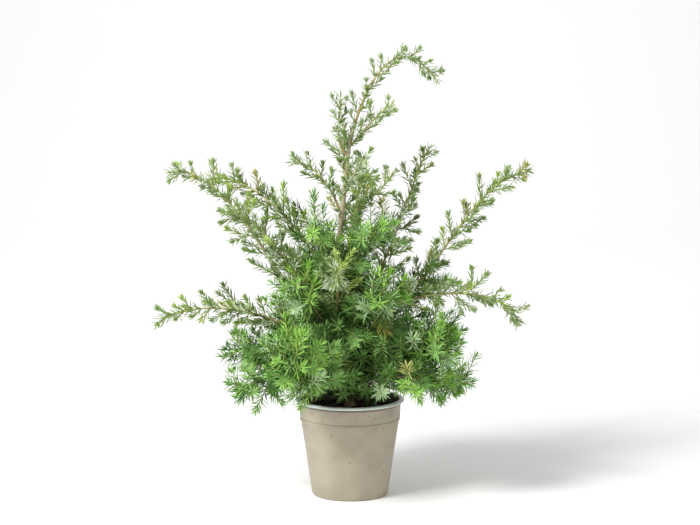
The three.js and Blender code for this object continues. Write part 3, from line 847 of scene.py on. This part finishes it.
# %% The bare bough and the foliage stem of each limb
# Side shoots: one every so many mm, their length, its share at the tip, degrees off the stem, lift. Then
# the stretch of stem that a whorl takes, and the radius of a shoot.
HABITS = {
    "bushy": dict(side_every=11, side_length=37, tip_share=0.5, spread=60, lift=0.14, whorl=7, core=0.9),
    "whippy": dict(side_every=13, side_length=26, tip_share=0.35, spread=48, lift=0.15, whorl=6.8, core=0.75),
    "wispy": dict(side_every=11.5, side_length=15, tip_share=0.55, spread=44, lift=0.15, whorl=5, core=0.75),
}
THINNEST_ROOT = 1.25
ROOT_SHARE = 0.0078
MEET_SHARE = 0.72
BARE_STEP = 15
for limb in limbs:
    curve, bare, habit = limb["curve"], limb["bough"], HABITS[limb["habit"]]
    is_leader = limb["name"] == "leader_tip"
    limb["root_radius"] = LEADER_RADIUS if is_leader else max(THINNEST_ROOT, ROOT_SHARE * curve.length)
    limb["meet_radius"] = limb["root_radius"] * MEET_SHARE
    limb["from"] = bare + GAP / curve.length if bare or is_leader else 0.0
    every, whorl = habit["side_every"], habit["whorl"]
    count = max(2, math.floor((1 - limb["from"]) * curve.length / every + 0.5))
    ends = [(n + 1 - whorl / every * before) / count for n in range(count) for before in (1, 0)]
    limb["stem"] = curve.at([limb["from"], *(mix(limb["from"], 1, end) for end in ends)])
    steps = math.ceil(bare * curve.length / BARE_STEP)
    limb["bare"] = curve.at(np.linspace(0, bare, steps + 1)) if bare else np.zeros((0, 3))
bare_limbs = [limb for limb in limbs if len(limb["bare"])]
print("limbs with a bare bough:", len(bare_limbs))

# %% Each mass keeps to its own space
FOLIAGE_FOOT = 72


def stretches(those, word):
    starts = np.concatenate([limb[word][:-1] for limb in those])
    return starts, np.concatenate([limb[word][1:] for limb in those])


stems = stretches(limbs, "stem")
bare_wood = stretches(bare_limbs, "bare")
stem_first = np.cumsum([0] + [len(limb["stem"]) - 1 for limb in limbs[:-1]])
bare_reach = np.concatenate([np.full(len(limb["bare"]) - 1, limb["root_radius"]) for limb in bare_limbs])


def off_pot(points, room):
    """True where a point is clear of the pot, and no lower than the foliage hangs."""
    outside = np.hypot(points[:, 0], points[:, 1]) > RIM_RADIUS + room
    return (points[:, 2] > FOLIAGE_FOOT + room) & (outside | (points[:, 2] > POT_HEIGHT + room))


def in_own_space(points, owner, thickness):
    """True where a point is nearer to its own stem than to any other, and clear of the limbs and the pot."""
    room = thickness + GAP
    clear = off_pot(points, room) & (off_trunk(points) >= room)
    clear &= (distances(points, *bare_wood) > bare_reach + room).all(1)
    to_stem = np.minimum.reduceat(distances(points, *stems), stem_first, axis=1)
    rows = np.arange(len(points))
    own = to_stem[rows, owner]
    to_stem[rows, owner] = np.inf
    return clear & (to_stem.min(1) > own + thickness + room)


print("straight stretches of stem:", len(stems[0]), "and of bare wood:", len(bare_wood[0]))

# %% [markdown]
# ### From limbs to shoots
# Side shoots stand in a spiral round each foliage stem, one for each short stretch of it, and the real plant
# carries on from there: between those shoots are smaller ones, and the larger shoots branch once more.
# The dense lower crown is bushy, the long limbs are whippy, and the leader and its sprigs are wispy, so
# each habit has its own numbers. A shoot is a root, a heading, a length and a small lift towards the
# light. Every shoot is walked from its root, and it is cut where it would leave its mass's own space, so
# the plant's outline and the gaps in it stay where the solids put them.

# %% Frames along a curve
UP = np.array([0, 0, 1.0])


def frames_along(points):
    """At each point: the heading, and two directions square to it that are carried on without twist."""
    heading = unit(np.gradient(points, axis=0))
    heading[0] = unit(points[1] - points[0])
    heading[-1] = unit(points[-1] - points[-2])
    side = np.zeros_like(heading)
    last = np.cross([1.0, 0, 0] if abs(heading[0, 2]) > 0.9 else UP, heading[0])
    for i, way in enumerate(heading):
        last = last - way * last.dot(way)
        last = last / np.linalg.norm(last)
        side[i] = last
    return heading, side, np.cross(heading, side)


def square_to(heading, angle, reference):
    """A direction square to each heading, turned round it by each angle."""
    side = unit(np.cross(reference, heading))
    return np.cos(angle)[:, None] * side + np.sin(angle)[:, None] * np.cross(heading, side)


def way_out(n, angle, spread, heading, side, other):
    """A direction that leaves a stem's nth point at an angle round it and a spread away from it."""
    outward = math.cos(angle) * side[n] + math.sin(angle) * other[n]
    return outward * math.sin(spread) + heading[n] * math.cos(spread)


# %% Shoots as rows of numbers
SHOOT_WORDS = ("root", "heading", "length", "lift", "owner", "reference", "along", "habit", "old_wood")


def shoots_from(rows):
    return {word: np.array(values) for word, values in zip(SHOOT_WORDS, zip(*rows))}


def shoot_points(shoots, shares):
    """Points along every shoot at the given shares of its length: (shoots, shares, 3)."""
    s = np.broadcast_to(np.asarray(shares, float), (len(shoots["length"]), np.shape(shares)[-1]))[..., None]
    length = shoots["length"][:, None, None]
    straight = shoots["root"][:, None] + s * length * shoots["heading"][:, None]
    return straight + shoots["lift"][:, None, None] * s**2 * length * UP


def one_shoot(shoots, i, shares):
    """Points and headings along one shoot."""
    one = {word: values[i : i + 1] for word, values in shoots.items()}
    ways = unit(one["heading"] + 2 * one["lift"][0] * shares[:, None] * UP)
    return shoot_points(one, shares)[0], ways


def cut_to_space(shoots, thickness, least):
    """Cuts each shoot where it leaves its mass's own space, and drops what is too short."""
    shares = np.linspace(0.125, 1, 8)
    points = shoot_points(shoots, shares).reshape(-1, 3)
    owner, old_wood = (np.repeat(shoots[word], len(shares)) for word in ("owner", "old_wood"))
    free = in_own_space(points, owner, thickness) | (old_wood & off_pot(points, thickness + GAP))
    kept = np.cumprod(free.reshape(-1, len(shares)), axis=1).sum(1) / len(shares)
    shoots = dict(shoots, length=shoots["length"] * kept, lift=shoots["lift"] * kept)
    alive = shoots["length"] >= least
    return {word: values[alive] for word, values in shoots.items()}


# %% Side shoots, by the model's rule and between its shoots
WHORL_TURN = math.radians(68)
GOLDEN_ANGLE = math.pi * (3 - math.sqrt(5))
EXTRA = {
    "bushy": dict(count=6, short=0.5, long=1.15, lift=0.42),
    "whippy": dict(count=2, short=0.4, long=0.8, lift=0.04),
    "wispy": dict(count=1, short=0.5, long=0.8, lift=0.2),
}
THINNER = {"crown": 1, "shoulder": 3, "skirt": 3}  # extra shoots where the sky shows through
grow = np.random.default_rng(23)
rows = []
for owner, limb in enumerate(limbs):
    name, stem = limb["habit"], limb["stem"]
    habit, extra = HABITS[name], EXTRA[name]
    extra_count = THINNER.get(limb["name"].rsplit("_", 1)[0], extra["count"])
    frames = frames_along(stem)
    spread = math.radians(habit["spread"])
    draws = seeded_random(owner + 1)
    first_angle = next(draws) * TURN
    shoots_here = (len(stem) - 1) // 2
    for n in range(shoots_here):
        k = 2 * n
        about = (owner, frames[0][k], (n + 0.5) / shoots_here, name, False)
        start_angle = WHORL_TURN * (k + 0.5) + TURN / 6
        turn = math.floor((first_angle + n * GOLDEN_ANGLE - start_angle) * 3 / TURN + 0.5)
        angle = start_angle + turn * TURN / 3
        taper = mix(1, habit["tip_share"], n / shoots_here)
        length = habit["side_length"] * taper * mix(0.8, 1.2, next(draws))
        way = way_out(k, angle, spread, *frames)
        rows.append(((stem[k] + stem[k + 1]) / 2, way, length, habit["lift"], *about))
        for e in range(extra_count):
            root = mix(stem[k], stem[k + 2], (e + 0.8 * grow.random()) / extra_count)
            own_angle = angle + TURN * (e + 1) / (extra_count + 1) + grow.uniform(-0.5, 0.5)
            way = way_out(k, own_angle, spread + grow.uniform(-0.16, 0.16), *frames)
            share = grow.uniform(extra["short"], extra["long"])
            rows.append((root, way, length * share, extra["lift"], *about))
print("side shoots planned:", len(rows))

# %% Short shoots on the old wood
TUFTS = {
    "trunk": dict(every=3.5, shortest=16, longest=30, spread=62, habit="bushy"),
    "leader": dict(every=8, shortest=5, longest=9, spread=46, habit="wispy"),
    "bough": dict(every=4.5, shortest=13, longest=27, spread=60, habit="bushy"),
}
CROWN_FOOT = 88
CROWN_TOP = 190
BARE_COLLAR = 6
TUFT_LIFT = 0.22
TUFT_ALONG = 0.15  # for its tint: how far out on the limb it counts as


def add_tufts(points, owner, tufts):
    """Shoots in a spiral along wood that carries no mass of its own."""
    frames = frames_along(points)
    for n, point in enumerate(points):
        angle = n * GOLDEN_ANGLE + grow.uniform(-0.4, 0.4)
        way = way_out(n, angle, math.radians(tufts["spread"]) + grow.uniform(-0.15, 0.15), *frames)
        length = grow.uniform(tufts["shortest"], tufts["longest"])
        about = (owner, frames[0][n], TUFT_ALONG, tufts["habit"], True)
        rows.append((point, way, length, TUFT_LIFT, *about))


for word, low, high in (("trunk", CROWN_FOOT, CROWN_TOP), ("leader", CROWN_TOP, LEADER_TOP - 2)):
    heights = np.arange(low, high, TUFTS[word]["every"])
    add_tufts(np.array([trunk_at(height) for height in heights]), 0, TUFTS[word])
for owner, limb in enumerate(limbs):
    if len(limb["bare"]):
        full = limb["curve"].length
        steps = np.arange(BARE_COLLAR, limb["bough"] * full, TUFTS["bough"]["every"]) / full
        add_tufts(limb["curve"].at(steps), owner, TUFTS["bough"])
side_shoots = cut_to_space(shoots_from(rows), thickness=0.5, least=4.0)
print("side shoots tried:", len(rows), "kept:", len(side_shoots["length"]))

# %% Twigs on the side shoots
TWIGS = {
    "bushy": dict(every=13, room=18, lift=0.32),
    "whippy": dict(every=10, room=12, lift=0.08),
    "wispy": dict(every=10, room=12, lift=0.16),
}
FIRST_TWIG, LAST_TWIG = 0.22, 0.75  # shares of the shoot's length
rows = []
for i, length in enumerate(side_shoots["length"]):
    owner, reference, along, name, old_wood = (side_shoots[word][i] for word in SHOOT_WORDS[4:])
    habit = TWIGS[name]
    count = int((length - habit["room"]) / habit["every"] + 0.5)
    if count < 1:
        continue
    shares = np.linspace(FIRST_TWIG, LAST_TWIG, count + 1)[:count] + grow.uniform(0, 0.08, count)
    roots, ways = one_shoot(side_shoots, i, shares)
    angles = grow.random() * TURN + GOLDEN_ANGLE * np.arange(count)
    outward = square_to(ways, angles, np.broadcast_to(reference, ways.shape))
    spread = np.radians(grow.uniform(40, 58, count))[:, None]
    headings = outward * np.sin(spread) + ways * np.cos(spread)
    lengths = (length * (1 - shares) * 0.6 + 6) * grow.uniform(0.8, 1.2, count)
    for j in range(count):
        outer = 1 - (1 - along) * (1 - 0.7 * shares[j])
        about = (owner, ways[j], outer, name, old_wood)
        rows.append((roots[j], headings[j], lengths[j], habit["lift"], *about))
twigs = cut_to_space(shoots_from(rows), thickness=0.4, least=3.5)
print("twigs tried:", len(rows), "kept:", len(twigs["length"]))

# %% [markdown]
# ## Trunk and boughs
# The trunk is one stem from a small root flare at the soil to the leader. Its bark is thin and stringy, with
# ridges that run along it, and each bough leaves it from a slight collar. A cylinder primitive is added and
# cut into many short rings with Subdivide. Then each ring is moved to its place on the limb's line, at its
# own radius, and the ridges are raised in the same step. The cylinder already has a UV map that runs round
# and along it, so the bark's pattern can follow the limb wherever it bends.

# %% A limb bent from a straight cylinder
def bark_ridges(angle, along, wander):
    """Stringy ridges: from -1 to 1, long along the limb and narrow round it."""
    drift = 0.9 * np.sin(along * 0.09 + wander) + 0.5 * np.sin(along * 0.23 + 2.1 * wander)
    coarse = np.sin(4 * angle + drift + wander)
    middle = np.sin(7 * angle - 1.7 * drift + 0.11 * along + 3 * wander)
    fine = np.sin(11 * angle + 2.3 * drift + 0.4 * np.sin(0.9 * along))
    flakes = np.sin(1.15 * along + 3 * np.sin(2 * angle + wander)) * np.sin(3 * angle + 0.3 * along)
    return 0.35 * coarse + 0.3 * middle + 0.2 * fine + 0.15 * flakes


def read_numbers(items, word, size):
    """What Blender's mesh keeps for each item under a word, as rows of numbers."""
    numbers = np.zeros(len(items) * size)
    items.foreach_get(word, numbers)
    return numbers.reshape(-1, size)


def bent_limb(name, curve, shares, radii, sides, relief, wander):
    """Bends a cylinder along a curve, with a ring and a radius at each share of the curve's length."""
    rings = len(shares) - 1
    deselect_all()
    bpy.ops.mesh.primitive_cylinder_add(vertices=sides, radius=1, depth=1, location=(0, 0, 0.5))
    piece = bpy.context.object
    piece.name = name
    apply_place(piece)
    select_parts(piece, "EDGE", lambda edge, one, other: abs(one.z - other.z) > 0.5)
    bpy.ops.mesh.subdivide(number_cuts=rings - 1)
    bpy.ops.object.mode_set(mode="OBJECT")
    mesh = piece.data
    corners = read_numbers(mesh.vertices, "co", 3)
    ring = np.rint(corners[:, 2] * rings).astype(int)
    angle = np.arctan2(corners[:, 1], corners[:, 0])
    points = curve.at(shares)
    along = shares * curve.length
    _, side, other = frames_along(points)
    radius = radii[ring] * (1 + relief * bark_ridges(angle, along[ring], wander))
    across = np.cos(angle)[:, None] * side[ring] + np.sin(angle)[:, None] * other[ring]
    mesh.vertices.foreach_set("co", ((points[ring] + radius[:, None] * across) * MM).ravel())
    uv_map = mesh.uv_layers.active.data
    uv = read_numbers(uv_map, "uv", 2)
    round_way = uv[:, 0] * TURN * radius.mean() * MM
    long_way = np.maximum(uv[:, 1] - 0.5, 0) * 2 * (along[-1] - along[0]) * MM
    uv_map.foreach_set("uv", np.stack([round_way, long_way], 1).ravel())
    mesh.update()
    select_only(piece)
    bpy.ops.object.shade_smooth_by_angle(angle=math.radians(50))
    return piece


# %% Bark finishes
def bark_finish(name, dark, middle, pale, young, young_from, roughness):
    """Stringy bark on the limb's own UV map, that turns to the young wood's colour young_from metres up."""
    material = new_material(name, middle, roughness)
    uv = add_node(material, "ShaderNodeUVMap").outputs["UV"]
    strings = add_node(material, "ShaderNodeMapping", {"Vector": uv, "Scale": (1500, 160, 1)}).outputs[0]
    fibre = noise(material, strings, 1, 5)
    patch = noise(material, uv, 130, 3)
    both = calculate(material, "ADD", product(material, fibre, 0.65), product(material, patch, 0.35))
    old_wood = colour_ramp(material, both, [(0.36, dark), (0.5, middle), (0.64, pale)])
    along = add_node(material, "ShaderNodeSeparateXYZ", {"Vector": uv}).outputs["Y"]
    younger = product(material, remap(material, along, young_from, young_from * 2), 0.75)
    feed_shader(material, "Base Color", blend_colours(material, younger, old_wood, linear(*young)))
    add_bump(material, fibre, 0.7, 0.3)
    return material


trunk_bark = bark_finish(
    "trunk_bark", (112, 88, 62), (160, 134, 100), (194, 176, 144), (164, 156, 128), 0.07, 0.8
)
bough_bark = bark_finish(
    "bough_bark", (104, 84, 54), (146, 126, 86), (176, 164, 114), (150, 148, 92), 0.03, 0.75
)
print("barks:", trunk_bark.name, "and", bough_bark.name)

# %% Trunk
TRUNK_RINGS, TRUNK_SIDES, TRUNK_RELIEF, TRUNK_WANDER = 261, 26, 0.085, 0.7
shares = np.linspace(0, 1, TRUNK_RINGS)
radii = trunk_radius(TRUNK_LINE.at(shares)[:, 2])
bark_shape = (TRUNK_SIDES, TRUNK_RELIEF, TRUNK_WANDER)
trunk = bent_limb("trunk_bark_relief", TRUNK_LINE, shares, radii, *bark_shape)
trunk.data.materials.append(trunk_bark)
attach(trunk, "root")
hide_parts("trunk")
print("trunk:", len(trunk.data.polygons), "faces,", round(TRUNK_LINE.length), "mm long")

# %% Boughs
BOUGH_SIDES, BOUGH_RELIEF, BOUGH_WANDER = 16, 0.075, 1.3
RING_STEP = 1.1
COLLAR_SWELL = 0.45
COLLAR_LENGTH = 2.2
INTO_STEM = 0.8
bough_faces = 0
for number, limb in enumerate(bare_limbs):
    curve = limb["curve"]
    inside = off_trunk(curve.at(np.linspace(0, 0.5, 200))) < 0
    leaves_bark = 0.5 * inside.mean() * curve.length
    bare_end = limb["bough"] * curve.length
    rings = max(12, round(bare_end / RING_STEP))
    shares = np.linspace(0, limb["bough"] + INTO_STEM / curve.length, rings)
    along = shares * curve.length
    taper = mix(limb["root_radius"], limb["meet_radius"], along / bare_end)
    radii = taper * (1 + COLLAR_SWELL * np.exp(-np.maximum(0, along - leaves_bark) / COLLAR_LENGTH))
    bark_shape = (BOUGH_SIDES, BOUGH_RELIEF, BOUGH_WANDER * number)
    piece = bent_limb("bark_of_" + limb["name"], curve, shares, radii, *bark_shape)
    piece.data.materials.append(bough_bark)
    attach(piece, "root")
    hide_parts("bough_" + limb["name"])
    bough_faces += len(piece.data.polygons)
print("boughs:", len(bare_limbs), "with", bough_faces, "faces")

# %% [markdown]
# ## Foliage stems and twigs
# Beyond its bare bough a limb goes on as the stem of its foliage. Near the trunk it is brown like the bough,
# and it turns from tan to a yellowish green towards the tip, as this year's growth has no bark yet. Each
# stem is a tube with small steps in it, where old needles sat. The twigs are thinner and green. Colours
# that have a place are dealt out by stretch as plain base colours, so that the pattern stays put.

# %% Wood colours
stem_colours = [
    new_material("stem_brown", (150, 134, 86), 0.75),
    new_material("stem_tan", (176, 162, 114), 0.7),
    new_material("stem_olive", (172, 168, 108), 0.62),
    new_material("stem_green", (152, 166, 88), 0.55),
]
twig_olive = new_material("twig_olive", (132, 140, 70), 0.6)
twig_green = new_material("twig_green", (112, 148, 66), 0.55)
print("wood colours:", *(finish.name for finish in (*stem_colours, twig_olive, twig_green)))

# %% Stems
REGIONS = {"bushy": "crown", "whippy": "long_limbs", "wispy": "long_limbs"}
TURNS_GREEN = {"crown": 0.9, "long_limbs": 0.75}
STEM_STEP = 1.6
STEM_SIDES = 8
NEEDLE_SCARS = 0.07
stem_parts = {"crown": [], "long_limbs": []}
stem_slots = {"crown": [], "long_limbs": []}
foliage_nodes = {"crown": [], "long_limbs": []}
for limb in limbs:
    curve, region = limb["curve"], REGIONS[limb["habit"]]
    steps = max(8, round((1 - limb["from"]) * curve.length / STEM_STEP))
    points = curve.at(np.linspace(limb["from"], 1, steps + 1))
    share = np.linspace(0, 1, steps + 1)
    radii = mix(1.1 * limb["meet_radius"], 0.8 * HABITS[limb["habit"]]["core"], share)
    radii *= 1 + NEEDLE_SCARS * (-1.0) ** np.arange(steps + 1)
    radii[-1] *= 0.4
    side = frames_along(points)[1]
    stem_parts[region].append(tubes_along(points[None], radii[None], STEM_SIDES, side[None]))
    tone = np.clip(((share[:-1] - 0.1) / TURNS_GREEN[region] * 4).astype(int), 0, 3)
    walls = np.repeat(tone, STEM_SIDES)
    stem_slots[region].append(np.concatenate([walls, walls, np.tile([0, 3], STEM_SIDES - 2)]))
    foliage_nodes[region].append("foliage_" + limb["name"])

for region, parts in stem_parts.items():
    slots = np.concatenate(stem_slots[region])
    piece = mesh_from_arrays("stems_of_" + region, *gathered(parts), stem_colours, slots, smooth=True)
    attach(piece, "root")
    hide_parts(*foliage_nodes[region])
    print(piece.name, len(piece.data.polygons), "triangles")

# %% Twigs
TWIG_TAPER = np.array([1.1, 1, 0.9, 0.75, 0.4])
for word, shoots, thick, finish in (
    ("side_shoots", side_shoots, 0.56, twig_olive),
    ("twigs", twigs, 0.42, twig_green),
):
    paths = shoot_points(shoots, np.linspace(0, 1, len(TWIG_TAPER)))
    radii = thick * TWIG_TAPER * mix(0.8, 1, shoots["habit"] == "bushy")[:, None]
    piece = mesh_from_arrays(word, *tubes_along(paths, radii, 4), [finish], smooth=True)
    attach(piece, "root")
    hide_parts(*foliage_nodes["crown"], *foliage_nodes["long_limbs"])
    print(piece.name, len(piece.data.polygons), "triangles")

# %% [markdown]
# ## Needles
# A juniper's young needles stand in whorls of three, each whorl turned by a sixth of a turn against the
# last. A needle is 5 to 10 mm long and sharp, green and keeled below, with a pale waxy band above. In the
# dense crown they spread widely, so that a shoot seen from its tip is a star. On the long limbs they are
# short and lie forward along the shoot, and each shoot's foot is bare. One needle is twelve faces: a base,
# two three-cornered rings and a tip. It is a little longer and wider than life, which lets fewer of them
# cover the plant.

# %% The needle's own shape
# Each point: across and above in widths, along in lengths. Its base, two rings and its tip.
NEEDLE_POINTS = np.array(
    [(0, 0, 0)]
    + [(-0.5, 0.05, 0.3), (0.5, 0.05, 0.3), (0, -0.36, 0.3)]
    + [(-0.4, 0.05, 0.68), (0.4, 0.05, 0.68), (0, -0.24, 0.68)]
    + [(0, 0, 1)]
)
UPPER_FACES = [(0, 1, 2), (1, 4, 5), (1, 5, 2), (4, 7, 5)]
LOWER_FACES = [(0, 3, 1), (0, 2, 3), (1, 3, 6), (1, 6, 4), (3, 2, 5), (3, 5, 6), (4, 6, 7), (6, 5, 7)]
NEEDLE_FACES = np.array(UPPER_FACES + LOWER_FACES)
NEEDLE_BEND = 0.1


def needle_arrays(roots, ways, above, lengths, widths):
    """Every needle as eight points: above is the side that its pale face looks to."""
    above = unit(above - ways * (above * ways).sum(-1, keepdims=True))
    across = np.cross(above, ways)
    x, y, z = NEEDLE_POINTS.T
    widths, lengths = widths[:, None], lengths[:, None]
    return (
        roots[:, None]
        + across[:, None] * (x * widths)[..., None]
        + above[:, None] * (y * widths + NEEDLE_BEND * z**2 * lengths)[..., None]
        + ways[:, None] * (z * lengths)[..., None]
    )


print("one needle:", len(NEEDLE_POINTS), "points,", len(NEEDLE_FACES), "faces")

# %% Whorls
# Sizes in mm, and degrees of lean off the shoot. Shares: less lean at the tip, and the shoot's bare foot.
NEEDLE = {
    "bushy": dict(length=11, width=1.08, every=1.95, lean=66, forward=0.2, bare=0.1),
    "whippy": dict(length=8, width=1.42, every=2.0, lean=46, forward=0.35, bare=0.2),
    "wispy": dict(length=7.4, width=1.4, every=2.1, lean=44, forward=0.35, bare=0.14),
}
TIP_CROWDING = 1.3
STEM_SPACING = {"crown": 1.25, "long_limbs": 2.4}
STEM_LEAN = {"crown": 64, "long_limbs": 60}
BUD = np.array([(0.8, 44, 0.8), (1.6, 20, 0.55)]).T  # past the tip: mm further, degrees of lean, size
TIP_SHRINK, TWIG_SIZE = 0.25, 0.92
scatter = np.random.default_rng(31)
whorls = {word: [] for word in ("root", "way", "reference", "lean", "size", "habit", "tint", "turn")}


def add_whorls(points, way, reference, **facts):
    """Whorls at a row of points. What is the same for the whole row may be given once."""
    count = len(points)
    whorls["root"].append(points)
    whorls["way"].append(np.broadcast_to(way, points.shape))
    whorls["reference"].append(np.broadcast_to(reference, points.shape))
    for word, value in facts.items():
        whorls[word].append(np.broadcast_to(value, count))
    whorls["turn"].append(np.arange(count) * TURN / 6 + scatter.random() * TURN)


print("needle lengths in mm:", {name: kind["length"] for name, kind in NEEDLE.items()})

# %% [markdown]
# ### Tints
# Deep in the crown the needles are darker, partly because they are old and partly as painted shade: the
# inner part of every crown shoot is given the darkest tint, where shade falls among the needles. Outside they
# are fresh. The long limbs are paler, with more of the waxy bands showing, and a few sprays have gone
# straw-coloured. One pattern over the whole plant would cut across its sprays, but a real spray is of one
# colour. So every spray is dealt one of five plain tints, the fresh ones more often further out, and the
# needles of each tint become a piece.

# %% Tints, each with its colour below and above
TINTS = {
    "crown": {
        "deep": ((42, 80, 20), (90, 130, 62)),
        "leaf": ((82, 134, 32), (138, 180, 100)),
        "fresh": ((114, 166, 40), (150, 194, 94)),
        "waxy": ((96, 138, 58), (172, 200, 150)),
        "straw": ((150, 150, 68), (176, 178, 108)),
    },
    "long_limbs": {
        "deep": ((90, 116, 52), (132, 154, 102)),
        "leaf": ((120, 148, 74), (160, 180, 126)),
        "fresh": ((150, 178, 80), (180, 200, 122)),
        "waxy": ((130, 152, 98), (186, 200, 168)),
        "straw": ((166, 162, 92), (190, 190, 130)),
    },
}
TINT_NAMES = list(TINTS["crown"])
# Near the trunk the darkest tint is dealt most: older needles, and painted shade inside the crown.
TINT_SHARES = {
    "bushy": ((0.55, 0.33, 0.02, 0.1, 0.0), (0.06, 0.42, 0.36, 0.14, 0.02)),
    "whippy": ((0.24, 0.44, 0.14, 0.16, 0.02), (0.05, 0.37, 0.18, 0.36, 0.04)),
    "wispy": ((0.3, 0.34, 0.02, 0.32, 0.02), (0.12, 0.34, 0.06, 0.46, 0.02)),
}  # near the trunk, and at the crown's outside
OLD_AND_SHADED = TINT_NAMES.index("deep")
INNER_SHARE = 0.42
limb_mood = scatter.random(len(limbs))


def deal_tint(habit, owner, along):
    """Most sprays of a limb are near to one another in colour, and the outer ones are fresher."""
    draw = (limb_mood[owner] + scatter.normal(0, 0.45)) % 1
    inner, outer = np.array(TINT_SHARES[habit])
    return int(np.searchsorted(np.cumsum(mix(inner, outer, along)), draw).clip(0, len(TINT_NAMES) - 1))


print("tints:", TINT_NAMES)

# %% Whorls along the shoots
for shoots, is_twig in ((side_shoots, False), (twigs, True)):
    for i, length in enumerate(shoots["length"]):
        owner, reference, along, habit = (shoots[word][i] for word in SHOOT_WORDS[4:8])
        kind = NEEDLE[habit]
        leafy = 1 - kind["bare"]
        tint = deal_tint(habit, owner, along)
        count = max(2, round(length * leafy / kind["every"]))
        shares = 1 - leafy * np.linspace(1, 0, count) ** TIP_CROWDING
        points, ways = one_shoot(shoots, i, shares)
        lean = kind["lean"] * (1 - kind["forward"] * shares**3)
        size = (1 - TIP_SHRINK * shares**3) * (TWIG_SIZE if is_twig else 1)
        # painted shade: the inner whorls of each crown shoot take the darkest tint
        shaded = (shares < INNER_SHARE) & (not is_twig) & (habit == "bushy")
        tints = np.where(shaded, OLD_AND_SHADED, tint)
        add_whorls(points, ways, reference, lean=lean, size=size, habit=habit, tint=tints)
        further, lean, size = BUD
        points = points[-1] + further[:, None] * ways[-1]
        add_whorls(points, ways[-1], reference, lean=lean, size=size, habit=habit, tint=tint)
print("rows of whorls on the shoots:", len(whorls["root"]))

# %% Whorls along the stems
STEM_SPRAYS = 6
for owner, limb in enumerate(limbs):
    habit, region = limb["habit"], REGIONS[limb["habit"]]
    length = (1 - limb["from"]) * limb["curve"].length
    count = round(length / (NEEDLE[habit]["every"] * STEM_SPACING[region]))
    shares = mix(0.04, 1, np.linspace(0, 1, count) ** 0.6)
    points = limb["curve"].at(mix(limb["from"], 1, shares))
    heading, side, _ = frames_along(points)
    tints = [deal_tint(habit, owner, (spray + 0.5) / STEM_SPRAYS) for spray in range(STEM_SPRAYS)]
    tint = np.array(tints)[(shares * (STEM_SPRAYS - 0.01)).astype(int)]
    lean = STEM_LEAN[region] * mix(1, 0.75, shares**2)
    add_whorls(points, heading, side, lean=lean, size=mix(0.6, 1.1, shares), habit=habit, tint=tint)
print("whorls:", sum(len(points) for points in whorls["root"]))

# %% Needles from whorls
TURN_SPREAD, LEAN_SPREAD = 0.22, 10
OFF_AXIS = 0.15
INNER_WALL = 39.5
threes = {word: np.repeat(np.concatenate(values), 3, axis=0) for word, values in whorls.items()}
way, reference, habit, root, tint = (threes[word] for word in ("way", "reference", "habit", "root", "tint"))
way = unit(way)
total = len(way)
thirds = np.tile(TURN * np.arange(3) / 3, total // 3)
turn = threes["turn"] + thirds + scatter.normal(0, TURN_SPREAD, total)
near_parallel = np.abs((unit(reference) * way).sum(1)) > 0.97
reference = np.where(near_parallel[:, None], [0.31, 0.77, 0.55], reference)
outward = square_to(way, turn, reference)
lean = np.radians(threes["lean"] + scatter.normal(0, LEAN_SPREAD, total))[:, None]
needle_way = outward * np.sin(lean) + way * np.cos(lean)


def by_habit(word):
    return np.select([habit == name for name in NEEDLE], [kind[word] for kind in NEEDLE.values()])


length = by_habit("length") * threes["size"] * scatter.uniform(0.82, 1.14, total)
width = by_habit("width") * scatter.uniform(0.88, 1.1, total)
root = root + outward * OFF_AXIS


def clear_of_pot(points):
    spread = np.hypot(points[:, 0], points[:, 1])
    in_wall = (points[:, 2] < POT_HEIGHT + 0.5) & (spread > INNER_WALL) & (spread < RIM_RADIUS + 0.5)
    in_soil = (points[:, 2] < soil_height(spread) + 1) & (spread <= INNER_WALL)
    return ~in_wall & ~in_soil


kept = np.logical_and.reduce([clear_of_pot(root + needle_way * (s * length)[:, None]) for s in (0, 0.6, 1)])
points = needle_arrays(root, needle_way, way, length, width)
print("needles grown:", total, "kept:", kept.sum())

# %% One piece for each tint and region
NEEDLE_SHINE = 0.2
in_crown = habit == "bushy"
for region, here in (("crown", in_crown), ("long_limbs", ~in_crown)):
    for index, (name, (below, above)) in enumerate(TINTS[region].items()):
        chosen = points[kept & here & (tint == index)]
        triangles = faces_of_copies(NEEDLE_FACES, len(NEEDLE_POINTS), len(chosen))
        slots = np.tile(np.arange(len(NEEDLE_FACES)) < len(UPPER_FACES), len(chosen))
        finishes = [
            new_material(f"needle_{name}_{region}_below", below, 0.5, NEEDLE_SHINE),
            new_material(f"needle_{name}_{region}_above", above, 0.6, NEEDLE_SHINE),
        ]
        corners = chosen.reshape(-1, 3)
        piece = mesh_from_arrays(f"needles_{name}_of_{region}", corners, triangles, finishes, slots)
        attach(piece, "root")
        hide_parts(*foliage_nodes[region])
        print(piece.name, len(chosen), "needles,", len(piece.data.polygons), "triangles")

# %% [markdown]
# ## The plant's size
# The dressed plant has to stay in the box of the imported model, give or take what soft needles may stand
# proud.

# %% Finish
deselect_all()
